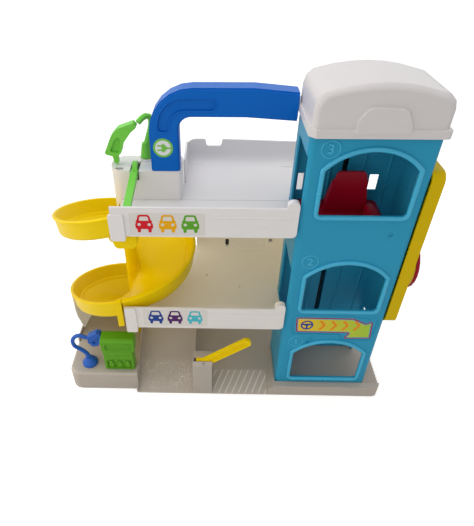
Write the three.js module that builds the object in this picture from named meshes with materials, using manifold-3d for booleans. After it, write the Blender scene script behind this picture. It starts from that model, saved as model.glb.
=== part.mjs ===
// A toy parking garage: a base with a charging pump and a barrier, two parking decks, a helical ramp down
// their left side, and a tower whose lift is worked by a dial on its right side, through gears and a cord.
// Units are millimetres. X runs to the right, Y to the back and Z up, and the ground is Z = 0.
import * as THREE from "three";
import { mergeVertices } from "three/addons/utils/BufferGeometryUtils.js";
import Module from "manifold-3d";

const wasm = await Module();
wasm.setup();

// Driving dimensions: what every other size is worked out from
const GAP = 0.3; // between pieces that touch
const WALL = 2.5; // moulded wall thickness
const FLOOR_1 = 14.5; // height of the three floors
const FLOOR_2 = 127.5;
const FLOOR_3 = 264.5;
const DECK_BACK = 161.5; // back face of the decks
const DECK_RIGHT = -16.3; // right edge of the decks, against the tower
const DECK_LEFT = -206.5;
const RAIL = { front: -2.8, back: -0.3 }; // front rails of the decks
const LANE_DEPTH = 62; // depth of the driving lane behind the rails

const TOWER = { left: -16, right: 104, front: 0, split: 36, back: 70.5, top: 371 };
const WINDOW = { left: 1.6, right: 90.4, shoulder: 51, apex: 70.6, bottoms: [28, 153, 284] };
const SLOT = { left: 38, right: 44, bottom: 26, top: 338 };

const BEHIND_TOWER = { right: 10, front: 71.2 }; // where the decks reach behind the tower

const SPIRAL = { x: -209.2, y: 81, hub: 8, crease: 74, wall: 82.8, lip: 84.6 };
const SPIRAL_PINCH = { from: 315, to: 345, depth: 2.4 }; // the wall draws in behind the middle deck's rail
const SPIRAL_SEAM = 360; // degrees travelled where the two mouldings of the ramp meet
const SPIRAL_END = 630;
const SPIRAL_RIM = { top: 271.2, fall: 115.6, sway: 10.3, turn: 22 }; // height of the ramp's outer rim
const BOWL = { edge: 19, depth: 18, curve: 1.6 }; // the ramp's floor below that rim

const DIAL = { y: 36, z: 203, radius: 32.5 };
const GEAR = { module: 1.9, dial: 32, pinion: 20, left: 108, right: 113.5 };
const SHAFT_Y = DIAL.y + (GEAR.module * (GEAR.dial + GEAR.pinion)) / 2 + 0.2;
const LIFT_X = 41.5; // centre of the lift's back plate and of the cord that hauls it
const CORD = { radius: 1, pulley: 10.5, drum: 7, turns: 2, pitch: 2.8 }; // radii to the cord's centre
const PULLEY_TOP = 331;
const PULLEY_BOTTOM = 29.5;

// Colours of the mouldings
const COLOUR = {
  taupe: 0xa79c90,
  ivory: 0xd9d5c6,
  white: 0xe8e6e8,
  yellow: 0xd8b400,
  blue: 0x3c94bc,
  handleBlue: 0x0a62c0,
  hoseBlue: 0x2a5cb8,
  green: 0x5a9a2a,
  lightGreen: 0x72c24a,
  red: 0xb8102c,
  steel: 0x9a9ca0,
  black: 0x2c2c2e,
};

// Solids from three.js geometry, joined and cut as manifolds

function solid(geometry) {
  const bare = new THREE.BufferGeometry();
  bare.setAttribute("position", geometry.getAttribute("position"));
  if (geometry.index) bare.setIndex(geometry.index);
  const merged = mergeVertices(bare, 1e-4);
  return new wasm.Manifold(
    new wasm.Mesh({
      numProp: 3,
      vertProperties: merged.attributes.position.array,
      triVerts: new Uint32Array(merged.index.array),
    }),
  );
}

function join(...pieces) {
  return pieces.reduce((whole, piece) => whole.add(piece));
}

function cut(body, ...tools) {
  return tools.reduce((rest, tool) => rest.subtract(tool), body);
}

// Points of a closed outline whose corners [x, y, radius] are rounded, a small radius with fewer steps.
function rounded(corners, most = 4) {
  const points = [];
  corners.forEach(([x, y, radius = 0], i) => {
    const at = new THREE.Vector2(x, y);
    if (!radius) {
      points.push(at);
      return;
    }
    const before = corners[(i + corners.length - 1) % corners.length];
    const after = corners[(i + 1) % corners.length];
    const a = new THREE.Vector2(before[0] - x, before[1] - y).normalize();
    const b = new THREE.Vector2(after[0] - x, after[1] - y).normalize();
    const half = Math.acos(THREE.MathUtils.clamp(a.dot(b), -1, 1)) / 2;
    const centre = a.clone().add(b).normalize().multiplyScalar(radius / Math.sin(half)).add(at);
    const from = a.clone().multiplyScalar(radius / Math.tan(half)).add(at).sub(centre);
    const to = b.clone().multiplyScalar(radius / Math.tan(half)).add(at).sub(centre);
    let turn = to.angle() - from.angle();
    if (turn > Math.PI) turn -= 2 * Math.PI;
    if (turn < -Math.PI) turn += 2 * Math.PI;
    const steps = Math.min(most, radius < 3 ? 2 : radius < 9 ? 3 : most);
    for (let k = 0; k <= steps; k++) {
      const angle = from.angle() + (turn * k) / steps;
      points.push(new THREE.Vector2(Math.cos(angle), Math.sin(angle)).multiplyScalar(radius).add(centre));
    }
  });
  return points;
}

function rectangle(x0, y0, x1, y1, radius = 0) {
  return [
    [x0, y0, radius],
    [x1, y0, radius],
    [x1, y1, radius],
    [x0, y1, radius],
  ];
}

// A prism of an outline: along "z" the outline is (x, y), along "y" it is (x, z), along "x" it is (y, z).
function prism(axis, outline, from, to, steps = 4) {
  const points = outline[0] instanceof THREE.Vector2 ? outline : rounded(outline, steps);
  const geometry = new THREE.ExtrudeGeometry(new THREE.Shape(points), {
    depth: to - from,
    bevelEnabled: false,
  });
  const turn = new THREE.Matrix4();
  if (axis === "z") turn.makeTranslation(0, 0, from);
  if (axis === "y") {
    turn.makeBasis(new THREE.Vector3(1, 0, 0), new THREE.Vector3(0, 0, 1), new THREE.Vector3(0, -1, 0));
    turn.setPosition(0, to, 0);
  }
  if (axis === "x") {
    turn.makeBasis(new THREE.Vector3(0, 1, 0), new THREE.Vector3(0, 0, 1), new THREE.Vector3(1, 0, 0));
    turn.setPosition(from, 0, 0);
  }
  return solid(geometry.applyMatrix4(turn));
}

function box(x0, y0, z0, x1, y1, z1) {
  return prism("z", rectangle(x0, y0, x1, y1), z0, z1);
}

function circle(u, v, radius, sides = 18) {
  return Array.from({ length: sides }, (_, k) => {
    const angle = (2 * Math.PI * k) / sides;
    return new THREE.Vector2(u + radius * Math.cos(angle), v + radius * Math.sin(angle));
  });
}

function rod(axis, u, v, radius, from, to, sides = 16) {
  return prism(axis, circle(u, v, radius, sides), from, to);
}

// A turned piece on an axis along X or Z through (u, v): the profile holds [radius, place along the axis].
function turned(axis, u, v, profile, sides = 32) {
  const points = profile.map(([radius, along]) => new THREE.Vector2(radius, along));
  const geometry = new THREE.LatheGeometry(points, sides);
  const turn = new THREE.Matrix4();
  if (axis === "z") {
    turn.makeBasis(new THREE.Vector3(1, 0, 0), new THREE.Vector3(0, 0, 1), new THREE.Vector3(0, -1, 0));
    turn.setPosition(u, v, 0);
  } else {
    turn.makeBasis(new THREE.Vector3(0, 1, 0), new THREE.Vector3(1, 0, 0), new THREE.Vector3(0, 0, -1));
    turn.setPosition(0, u, v);
  }
  return solid(geometry.applyMatrix4(turn));
}

// A closed skin through rings of points: every ring holds the same number of points, and the first and the
// last are closed by flat caps that follow the triangles of their own two-dimensional section.
function skin(rings, section) {
  if (THREE.ShapeUtils.isClockWise(section)) {
    section = section.toReversed();
    rings = rings.map((ring) => ring.toReversed());
  }
  const count = section.length;
  const positions = rings.flat().flatMap((p) => [p.x, p.y, p.z]);
  const index = [];
  for (let i = 0; i + 1 < rings.length; i++)
    for (let k = 0; k < count; k++) {
      const next = (k + 1) % count;
      const a = i * count + k;
      const b = i * count + next;
      index.push(a, b, a + count, b, b + count, a + count);
    }
  const last = (rings.length - 1) * count;
  for (const [a, b, c] of THREE.ShapeUtils.triangulateShape(section, [])) {
    index.push(a, c, b);
    index.push(last + a, last + b, last + c);
  }
  const geometry = new THREE.BufferGeometry();
  geometry.setAttribute("position", new THREE.Float32BufferAttribute(positions, 3));
  geometry.setIndex(index);
  return solid(geometry);
}

// A round bar along a smooth curve through [x, y, z, radius] stations.
function bar(stations, steps, sides = 10) {
  const curve = new THREE.CatmullRomCurve3(
    stations.map(([x, y, z]) => new THREE.Vector3(x, y, z)),
    false,
    "centripetal",
  );
  const frames = curve.computeFrenetFrames(steps, false);
  const section = circle(0, 0, 1, sides);
  const rings = [];
  for (let i = 0; i <= steps; i++) {
    const centre = curve.getPointAt(i / steps);
    const place = curve.getUtoTmapping(i / steps) * (stations.length - 1);
    const k = Math.min(Math.floor(place), stations.length - 2);
    const radius = THREE.MathUtils.lerp(stations[k][3], stations[k + 1][3], place - k);
    rings.push(
      section.map((p) =>
        centre
          .clone()
          .addScaledVector(frames.normals[i], p.x * radius)
          .addScaledVector(frames.binormals[i], p.y * radius),
      ),
    );
  }
  return skin(rings, section);
}

// The window outline: straight sides, rounded lower corners and a flat arch, grown outwards by a margin.
function windowOutline(bottom, margin) {
  const left = WINDOW.left - margin;
  const right = WINDOW.right + margin;
  const half = (right - left) / 2;
  const shoulder = bottom + WINDOW.shoulder;
  const rise = WINDOW.apex - WINDOW.shoulder + margin;
  const radius = (half * half + rise * rise) / (2 * rise);
  const spread = Math.asin(half / radius);
  const arch = [];
  for (let k = 0; k <= 6; k++) {
    const angle = spread - (spread * k) / 3;
    arch.push([left + half + radius * Math.sin(angle), shoulder + rise - radius * (1 - Math.cos(angle))]);
  }
  const corner = 4 + margin;
  return rounded([[left, bottom - margin, corner], [right, bottom - margin, corner], ...arch], 3);
}

// Base: pump platform, exit lane, gate post, entry ramp, parking floor and tower pedestal
const PLATFORM_TOP = 31.5;
const PLATFORM_EDGE = 2.6; // slope round the platform's top
const LANE = { left: -203, right: -128, topY: SPIRAL.y - 0.4, topZ: 50 };
const GATE = { x: -113, z: 60, postTop: 62.5, tilt: 36.5 };
const BASE_BACK = 165.6;
const PEDESTAL = { left: -19.5, right: 124.8, front: -9, back: 108, lip: 18.5 };
const ENTRY = { left: -101.5, right: PEDESTAL.left - 6, back: 24 };

function makeBase() {
  const { front } = PEDESTAL;
  const platform = (inset) => [
    [-296 + inset, -3 + inset, 14],
    [LANE.left, -3 + inset, 0],
    [LANE.left, BASE_BACK - inset, 0],
    [-296 + inset, BASE_BACK - inset, 10],
  ];
  const platformRings = [
    [0, 0],
    [0, PLATFORM_TOP - 3],
    [PLATFORM_EDGE, PLATFORM_TOP],
  ].map(([inset, z]) => rounded(platform(inset), 4).map(({ x, y }) => new THREE.Vector3(x, y, z)));
  const pedestal = [
    [PEDESTAL.left, front, 0],
    [PEDESTAL.right, front, 9],
    [PEDESTAL.right, PEDESTAL.back, 9],
    [PEDESTAL.left, PEDESTAL.back, 0],
  ];
  const laneTop = [
    [front, 1.5],
    [12, 9],
    [LANE.topY, LANE.topZ],
  ];
  const laneBody = [[front, 0], ...laneTop, [LANE.topY, 0]];
  const laneAir = [[front - 1, 1.5], ...laneTop, [LANE.topY, 90], [front - 1, 90]];
  const laneHollow = [
    [14, -1],
    [14, 6.5],
    [LANE.topY - WALL, LANE.topZ - 4.5],
    [LANE.topY - WALL, -1],
  ];
  const kerb = [
    [front + 1, 0],
    [front + 1, 4],
    [12, 19],
    [LANE.topY, LANE.topZ + 8],
    [LANE.topY, 0],
  ];
  const frontLip = prism("z", rectangle(PEDESTAL.left, front, PEDESTAL.right, -GAP), 0, PEDESTAL.lip);
  const body = join(
    skin(platformRings, rounded(platform(0), 4)),
    prism("z", rectangle(LANE.left - 1, front, BEHIND_TOWER.right, BASE_BACK), 0, FLOOR_1),
    prism("z", pedestal, 0, FLOOR_1),
    prism("x", laneBody, LANE.left, LANE.right),
    prism("x", kerb, LANE.left - 2.2, LANE.left),
    prism("x", kerb, LANE.right, LANE.right + 2.2),
    prism("z", rectangle(-127.5, front, -101.5, 13, 2), 0, GATE.postTop),
    box(PEDESTAL.left, front, 0, PEDESTAL.left + 3.2, 66, PEDESTAL.lip),
    frontLip.intersect(prism("z", pedestal, 0, PEDESTAL.lip)),
    box(-296, 55, 0, -294.1, 100, PLATFORM_TOP + 6),
  );
  const platformHollow = rectangle(-296 + WALL, -3 + WALL, LANE.left - 2.2 - GAP, BASE_BACK - WALL, 9);
  const hollow = join(
    prism("z", platformHollow, -1, PLATFORM_TOP - WALL),
    box(LANE.right + 3, 24, -1, PEDESTAL.left - 1, BASE_BACK - WALL, FLOOR_1 - WALL),
    box(PEDESTAL.left - 2, PEDESTAL.back, -1, BEHIND_TOWER.right - WALL, BASE_BACK - WALL, FLOOR_1 - WALL),
    box(LANE.left + 1, LANE.topY + 2, -1, LANE.right + 4, BASE_BACK - WALL, FLOOR_1 - WALL),
    box(PEDESTAL.left + 2, 2, -1, PEDESTAL.right - WALL, PEDESTAL.back - WALL, FLOOR_1 - WALL),
    box(-125, front + WALL, -1, -104, 10.5, 46),
    prism("x", laneHollow, LANE.left + WALL, LANE.right - WALL),
  );
  const entryAir = [
    [front - 1, 0.8],
    [ENTRY.back, FLOOR_1],
    [ENTRY.back, FLOOR_1 + 9],
    [front - 1, FLOOR_1 + 9],
  ];
  const postChamfer = [
    [front - 1, 54],
    [-5.4, GATE.postTop + 1],
    [front - 1, GATE.postTop + 1],
  ];
  const gateSlot = join(
    box(-118, -4.6, 49, -100, 1.6, GATE.postTop + 1),
    box(-126, -4.6, 54, -117, 1.6, GATE.postTop + 1),
  );
  const carved = cut(
    body,
    hollow,
    prism("x", entryAir, ENTRY.left, ENTRY.right),
    prism("x", postChamfer, -130, -100),
    gateSlot,
    prism("x", laneAir, LANE.left, LANE.right),
    rod("y", GATE.x, GATE.z, 1.6, -12, 10, 12),
    rod("z", SPIRAL.x, SPIRAL.y, SPIRAL.hub + GAP, PLATFORM_TOP, 80),
  );
  return join(carved, ...entryRibs());
}

// Slanted grip ribs on the entry ramp
function entryRibs() {
  const space = prism("x", [[-9, 0.4], [24, 13.8], [24, 15.4], [-9, 2.2]], ENTRY.left + 1, ENTRY.right - 1);
  return Array.from({ length: 8 }, (_, k) => {
    const x = -95 + k * 9;
    const outline = [[x - 7, -8], [x - 5.2, -8], [x + 8.8, 21], [x + 7, 21]];
    return prism("z", outline, 0, 30).intersect(space);
  });
}

// Helical ramp: a bowl-shaped trough round the hub. Angles are degrees travelled from the top deck.

// The rim falls steadily, but faster down the outer side than along the decks.
function rampRim(angle) {
  const { top, fall, sway, turn } = SPIRAL_RIM;
  return top - (fall * angle) / 360 + sway * Math.cos(THREE.MathUtils.degToRad(angle + turn));
}

// The floor is a bowl that starts level with the top deck and flattens out towards the exit lane.
function rampFloor(angle, radius) {
  const share = Math.max(0, (radius - 9.5) / (70 - 9.5));
  const bowl = rampRim(angle) - BOWL.edge - BOWL.depth * (1 - share ** BOWL.curve);
  const entry = radius > 21 ? FLOOR_3 - 0.7 - 1.1 * angle - (radius - 50) ** 2 / 2000 : 0;
  const flat = rampRim(angle) - 22;
  const level = THREE.MathUtils.clamp((angle - 540) / 90, 0, 1);
  return THREE.MathUtils.lerp(Math.max(bowl, entry), flat, level);
}

function rampWall(angle) {
  const { from, to, depth } = SPIRAL_PINCH;
  const pinched = angle < SPIRAL_SEAM ? THREE.MathUtils.smoothstep(angle, from, to) : 0;
  return SPIRAL.wall - depth * pinched;
}

function spiralPoint(angle, radius, z) {
  const turn = THREE.MathUtils.degToRad(angle);
  return new THREE.Vector3(SPIRAL.x - radius * Math.sin(turn), SPIRAL.y - radius * Math.cos(turn), z);
}

// The trough's section at an angle, as [radius, height]: the floor out from the hub, a small step, the wall
// and its lip, then back underneath with a rounded corner.
function troughSection(angle) {
  const rim = rampRim(angle);
  const wall = rampWall(angle);
  const floor = (radius) => [radius, rampFloor(angle, radius)];
  const under = (radius) => [radius, rampFloor(angle, radius) - 2.3];
  const kerb = Math.min(rampFloor(angle, 9.5) + 7, 246);
  return [
    [7, kerb],
    [10, Math.min(rampFloor(angle, 10) + 2, kerb - 1)],
    ...[20.5, 22.5, 34, 46, 58, 70].map(floor),
    [71.2, Math.max(rim - 17.2, rampFloor(angle, 70))],
    [SPIRAL.crease, Math.max(rim - 16.6, rampFloor(angle, 70) + 0.6)],
    [wall - 2, rim],
    [SPIRAL.lip - 0.8, rim],
    [SPIRAL.lip, rim - 0.8],
    [SPIRAL.lip, rim - 2.6],
    [wall, rim - 2.8],
    [wall - 0.4, rim - 19],
    [wall - 1.8, rim - 23.5],
    [wall - 4.8, rim - 26.6],
    [wall - 8.8, rim - 28],
    [56, rim - 28.5],
    ...[42, 25, 20.9, 7].map(under),
  ];
}

function sweepSpiral(from, to, section) {
  const step = 15;
  const angles = [from];
  for (let angle = step * (Math.floor(from / step) + 1); angle < to; angle += step) angles.push(angle);
  angles.push(to);
  const rings = angles.map((angle) => section(angle).map(([radius, z]) => spiralPoint(angle, radius, z)));
  return skin(rings, section(from).map(([radius, z]) => new THREE.Vector2(radius, z)));
}

const HUB_JOINT = 137; // height where the hubs of the two ramp mouldings meet
const HUB_TOP = 239.5;

function makeSpiralUpper() {
  const hub = rod("z", SPIRAL.x, SPIRAL.y, SPIRAL.hub, HUB_JOINT, HUB_TOP, 20);
  const tongue = prism("y", [
    [-213.8, 251.4, 0],
    [-212, 246.2, 2],
    [-209.8, 245.7, 0],
    [-208.2, 240.2, 2],
    [-205.6, 237.4, 0],
    [-187.5, 237.4, 3],
    [-184, 242.7, 0],
    [-184, FLOOR_3 - 3 - GAP, 0],
    [-206.3, FLOOR_3 - 3 - GAP, 0],
  ], 4, 58);
  const spiral = sweepSpiral(0.3, SPIRAL_SEAM - 0.3, troughSection);
  return join(cut(spiral, rod("z", SPIRAL.x, SPIRAL.y, SPIRAL.hub + 0.35, 100, HUB_JOINT, 20)), hub, tongue);
}

function makeSpiralLower() {
  const hub = rod("z", SPIRAL.x, SPIRAL.y, SPIRAL.hub, PLATFORM_TOP + GAP, HUB_JOINT - GAP, 20);
  const collar = sweepSpiral(SPIRAL_SEAM + 0.2, SPIRAL_SEAM + 5, (angle) => [
    [79, rampRim(angle) - 15],
    [79, rampRim(angle) + 0.8],
    [SPIRAL.lip + 1, rampRim(angle) + 0.8],
    [SPIRAL.lip + 1, rampRim(angle) - 3],
    [SPIRAL.wall + 1.4, rampRim(angle) - 4],
    [SPIRAL.wall + 0.8, rampRim(angle) - 41],
    [80.4, rampRim(angle) - 41],
    [79.8, rampRim(angle) - 31],
    [70, rampRim(angle) - 30],
    [70, rampRim(angle) - 22],
  ]);
  return join(sweepSpiral(SPIRAL_SEAM + 0.2, SPIRAL_END, troughSection), hub, collar);
}

// Ivory wall behind the parking floor, curved round the foot of the ramp
function makeBackWall() {
  const foot = FLOOR_1 + GAP;
  const top = FLOOR_2 - 3.5;
  const inner = SPIRAL.wall + GAP;
  const outer = inner + 1.5;
  const outline = [
    [SPIRAL.x, PLATFORM_TOP + GAP],
    [LANE.left + 1, PLATFORM_TOP + GAP],
    [LANE.left + 1, foot],
    [BEHIND_TOWER.right, foot],
    [BEHIND_TOWER.right, top],
    [-176, top, 6],
    [-182, 80.5, 6],
    [SPIRAL.x, 80.5],
  ];
  const straight = prism("y", outline, SPIRAL.y + inner, SPIRAL.y + outer);
  const start = 68;
  const curved = sweepSpiral(start, 180, (angle) => {
    const slant = PLATFORM_TOP + GAP + Math.max(0, 66 - 3 * (angle - start));
    const rim = rampRim(SPIRAL_SEAM + angle) - 3.4;
    return [
      [inner, slant],
      [outer, slant],
      [outer, rim],
      [inner, rim],
    ];
  });
  const back = SPIRAL.y + inner + 0.5;
  const ribs = [-150, -100, -60].map((x) => box(x, back - 6, foot, x + 2, back, top));
  const ledge = box(-126, SPIRAL.y + 68, top - 2.5, BEHIND_TOWER.right, back, top);
  return join(straight, curved, ...ribs, ledge);
}

// Decks: a floor, a front rail with a block at its left end, and a back wall that sweeps up from the floor

// The front rail between two heights, with its raised right end, a thin ridge, two tabs and an end block.
function makeRail(bottom, top, ridge, block) {
  const outline = [
    [DECK_LEFT, bottom],
    [DECK_RIGHT, bottom, 5],
    [DECK_RIGHT, top + 7, 6],
    [DECK_RIGHT - 11, top + 7, 5],
    [DECK_RIGHT - 12, top, 0],
    [DECK_LEFT, top, 0],
  ];
  const rail = prism("y", outline, RAIL.front, RAIL.back);
  const cap = prism("y", rectangle(DECK_RIGHT - 12, bottom + 6, DECK_RIGHT, top + 7, 5), RAIL.front, 4.5);
  const blockOutline = rectangle(block.left, block.bottom, block.right, block.top, 2);
  const end = prism("y", blockOutline, RAIL.front - 2, RAIL.front + 1);
  const line = box(-110, RAIL.front - 0.5, ridge, DECK_RIGHT - 6, RAIL.front + 0.5, ridge + 1.5);
  const tabs = [-88, -60].map((x) =>
    prism("y", rectangle(x, bottom + 2, x + 15, bottom + 13, 2), RAIL.front - 0.4, RAIL.front + 0.5),
  );
  return join(rail, cap, end, line, ...tabs);
}

// A quarter-round sweep between a floor and a back wall, along X.
function makeCove(left, right, floor, back, radius) {
  const points = [new THREE.Vector2(back + 0.5, floor - 0.5), new THREE.Vector2(back + 0.5, floor + radius)];
  for (let k = 0; k <= 5; k++) {
    const angle = (Math.PI / 2) * (k / 5);
    const y = back - radius + radius * Math.cos(angle);
    const z = floor + radius - radius * Math.sin(angle);
    points.push(new THREE.Vector2(y, z));
  }
  points.push(new THREE.Vector2(back - radius, floor - 0.5));
  return prism("x", points, left, right);
}

// The part of a deck that lies behind the tower, with the wall that closes its right end.
function deckBehindTower(floor, wallTop) {
  const { right, front } = BEHIND_TOWER;
  return join(
    box(DECK_RIGHT - 1, front, floor - 3, right, DECK_BACK, floor),
    box(right - WALL, front, floor - 1, right, DECK_BACK, wallTop),
  );
}

function makeDeck2() {
  const slab = box(DECK_LEFT, RAIL.front + 1, FLOOR_2 - 3, DECK_RIGHT, DECK_BACK, FLOOR_2);
  const wallLeft = -127;
  const wallTop = FLOOR_3 - 3.4;
  const wall = box(wallLeft, DECK_BACK - WALL, FLOOR_2 - 1, BEHIND_TOWER.right, DECK_BACK, wallTop);
  const cove = makeCove(wallLeft, BEHIND_TOWER.right, FLOOR_2, DECK_BACK - WALL, 14);
  const round = rod("z", SPIRAL.x, SPIRAL.y, 50, 0, 400, 36);
  const apron = join(cut(slab, round), cove, wall, deckBehindTower(FLOOR_2, wallTop));
  const rail = makeRail(122.5, 155.5, 150.2, { left: -206.6, right: -193.3, bottom: 115.8, top: 155.8 });
  const slot = prism("y", rectangle(-84.6, FLOOR_2 + 3, -79.5, FLOOR_2 + 14.5, 2), DECK_BACK - 9, DECK_BACK + 1);
  const bracket = cut(
    box(-25.7, DECK_BACK - 6.3, FLOOR_2 + 4, -12.7, DECK_BACK - 1, FLOOR_2 + 20),
    rod("y", -18.9, 142.5, 3.6, DECK_BACK - 8, DECK_BACK - 4.5, 16),
  );
  const casing = box(-12.9, DECK_BACK - 7.3, FLOOR_2 + 4.5, 8, DECK_BACK - 1, FLOOR_2 + 19.5);
  const pegHoles = [[-110.8, 93], [-67.2, 69.3]];
  const holes = pegHoles.map(([x, y]) => rod("z", x, y, 1.6, FLOOR_2 - 5, FLOOR_2 + 1, 10));
  return join(cut(join(apron, rail), slot, ...holes), bracket, casing);
}

const CABINET = { left: -217.4, right: -138.3, front: 61.5, back: 100, top: 301, skirt: 246.5 };

function makeDeck3() {
  const lane = box(DECK_LEFT, RAIL.front + 1, FLOOR_3 - 3, DECK_RIGHT, LANE_DEPTH, FLOOR_3);
  const shelf = box(DECK_LEFT, LANE_DEPTH - 1, FLOOR_3 - 3, CABINET.right, CABINET.back, FLOOR_3);
  const bay = box(CABINET.right, LANE_DEPTH, FLOOR_3 - 3, DECK_RIGHT, DECK_BACK, FLOOR_3 + 0.6);
  const wallTop = 296;
  const backOutline = [
    [CABINET.right, FLOOR_3 - 3],
    [BEHIND_TOWER.right, FLOOR_3 - 3],
    [BEHIND_TOWER.right, wallTop - 3],
    [-92, wallTop, 0],
    [-94, wallTop - 9, 2],
    [-112, wallTop - 9, 2],
    [-114, wallTop, 2],
    [CABINET.right, wallTop, 12],
  ];
  const sideOutline = [
    [CABINET.back + GAP, FLOOR_3 - 3],
    [DECK_BACK, FLOOR_3 - 3],
    [DECK_BACK, wallTop, 12],
    [CABINET.back + GAP, wallTop],
  ];
  return join(
    lane,
    shelf,
    bay,
    deckBehindTower(FLOOR_3, wallTop - 3.4),
    prism("y", backOutline, DECK_BACK - WALL, DECK_BACK),
    prism("x", sideOutline, CABINET.right, CABINET.right + WALL),
    makeCove(CABINET.right, BEHIND_TOWER.right, FLOOR_3 + 0.6, DECK_BACK - WALL, 12),
    makeRail(258.5, 293.5, 282.5, { left: -209, right: -193.2, bottom: 253.5, top: 285.5 }),
  );
}

// Charging cabinet on the top deck, with a nozzle well, a slot for the gate and sockets for handle and hose
const HANDLE = { left: -170, right: -139, front: 60.5, back: 82.5, barTop: 390, barBottom: 361 };
const HOSE_FOOT = { x: -179, y: 90 };
const UPPER_GATE = { left: -193.4, right: -185.8, y: 66, z: 298 };

function makeCabinet() {
  const { left, right, front, back, top, skirt } = CABINET;
  const plan = (inset) => [
    [left + inset, front + inset, 16 - inset],
    [right - inset, front + inset, 3],
    [right - inset, back - inset, 3],
    [left + inset, back - inset, 16 - inset],
  ];
  const shelfEdge = DECK_LEFT - GAP;
  const block = join(
    prism("z", plan(0), FLOOR_3 + GAP, top),
    prism("z", plan(0), skirt, FLOOR_3 + 1).intersect(box(left - 1, front - 1, 0, shelfEdge, back + 1, 400)),
  );
  const shell = cut(block, prism("z", plan(2.4), skirt - 1, top - 2.4));
  const ringProfile = [
    [5.2, top - 4],
    [8.2, top - 4],
    [8.2, top + 2],
    [7.6, top + 2.7],
    [5.2, top + 2.7],
    [5.2, top - 4],
  ];
  const ring = turned("z", HOSE_FOOT.x, HOSE_FOOT.y, ringProfile, 16);
  const well = prism("z", rectangle(-211.3, 64.2, -201.3, 69.5, 2.6), top - 6, top + 1);
  const gate = UPPER_GATE;
  const gateSlot = box(gate.left - 1.2, front - 1, top - 12, gate.right + 1.2, 84, top + 5);
  const socketOutline = rectangle(HANDLE.left + 5.7, 65.7, HANDLE.right - 5.7, 77.3, 2);
  const socket = prism("z", socketOutline, top - 9, top + 5);
  const hoseBore = rod("z", HOSE_FOOT.x, HOSE_FOOT.y, 5.2, top - 10, top + 6);
  const pinHole = rod("x", gate.y, gate.z, 1.5, gate.left - 12, gate.right + 12, 12);
  const cheeks = join(
    box(gate.left - 3.6, front + 1, top - 12, gate.left - 1.2, 74, top - 1),
    box(gate.right + 1.2, front + 1, top - 12, gate.right + 3.6, 74, top - 1),
  );
  return join(cut(join(shell, cheeks), well, gateSlot, socket, hoseBore, pinHole), ring);
}

// Carry handle from the cabinet over to the roof, one moulding with a recess along its face
function makeHandle() {
  const { left, right, front, back, barTop, barBottom } = HANDLE;
  const end = TOWER.left - 2.8;
  const outline = [
    [left, CABINET.top + GAP, 0],
    [left, barTop, 46],
    [-62, barTop, 30],
    [end, barTop - 4, 0],
    [end, barBottom - 3.5, 0],
    [-70, barBottom, 30],
    [right, barBottom, 13],
    [right, CABINET.top + GAP, 0],
  ];
  const face = prism("y", outline, front, back, 6);
  const trim = 1.6;
  const slim = outline.map(([x, z, radius], i) => {
    const dx = [trim, trim, 0, 0, 0, 0, -trim, -trim][i];
    const dz = [0, -trim, -trim, -trim, trim, trim, trim, 0][i];
    return [x + dx, z + dz, Math.max(0, radius - (i < 3 ? trim : -trim))];
  });
  const body = join(
    prism("y", slim, front, back, 6),
    face.intersect(box(-400, front + trim, 0, 200, back - trim, 600)),
  );
  const recess = prism("y", [
    [-161, 345, 5],
    [-161, 380.5, 29],
    [-100.5, 380.5, 6],
    [-100.5, 367.5, 6],
    [-148.5, 367.5, 16],
    [-148.5, 345, 5],
  ], front - 1, front + 1.6, 5);
  const spigot = prism("z", rectangle(left + 6, 66, right - 6, 77, 2), CABINET.top - 8, CABINET.top + 4);
  return join(cut(body, recess), spigot);
}

// Tower: a front and a rear half shell that meet at mid depth

const DOORS = [
  { bottom: FLOOR_2, top: 214 },
  { bottom: FLOOR_3, top: 347.5 },
];

function towerDoors(from, to) {
  const doorway = (bottom, top, back) => [
    [3, bottom, 0],
    [back, bottom, 0],
    [back, top, 4],
    [3, top, 2],
  ];
  const { left } = TOWER;
  const entries = DOORS.map(({ bottom, top }) => prism("x", doorway(bottom, top, 56), left - 5, left + 8));
  const exit = prism("x", doorway(FLOOR_1 - 1, 104, 64), TOWER.right - 8, TOWER.right + 5);
  return [...entries, exit].map((door) => door.intersect(box(-60, from, 0, 160, to, 500)));
}

function makeTowerFront() {
  const { left, right, front, split, top } = TOWER;
  const plan = (inset, edge) => [
    [left + inset, edge],
    [left + inset, front + inset, 6 - inset],
    [right - inset, front + inset, 5 - inset],
    [right - inset, edge],
  ];
  const foot = FLOOR_1 + GAP;
  const inside = prism("z", plan(WALL, split + 1), foot - 1, top + 1);
  const shell = cut(prism("z", plan(0, split), foot, top), inside);
  const beads = WINDOW.bottoms.map((bottom) =>
    join(
      prism("y", windowOutline(bottom, 2.6), front - 2.2, front + 1),
      prism("y", windowOutline(bottom, 3.8), front - 1.2, front + 1),
    ),
  );
  const windows = WINDOW.bottoms.map((bottom) => prism("y", windowOutline(bottom, 0), front - 3, front + 5));
  const shaftHole = rod("x", DIAL.y, DIAL.z, 4.4, right - 8, right + 4);
  const labelOutline = [
    [-4.5, 143, 6],
    [60, 143, 4],
    [86, 138, 3],
    [97, 142, 4],
    [94, 103, 4],
    [58, 103, 4],
    [56, 112.5, 3],
    [-4.5, 112.5, 6],
  ];
  const labelRecess = prism("y", labelOutline, front - 1, front + 0.5);
  const dimples = [[80.5, 262], [17.5, 98]].map(([x, z]) => rod("y", x, z, 2.6, front - 1, front + 1, 12));
  const rails = [12, 92].map((x) => box(x, front + 1, foot, x + 1.6, front + WALL + 1.4, 24));
  const whole = join(shell, ...beads, ...rails);
  return cut(whole, ...windows, ...towerDoors(0, split + 1), shaftHole, labelRecess, ...dimples);
}

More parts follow.
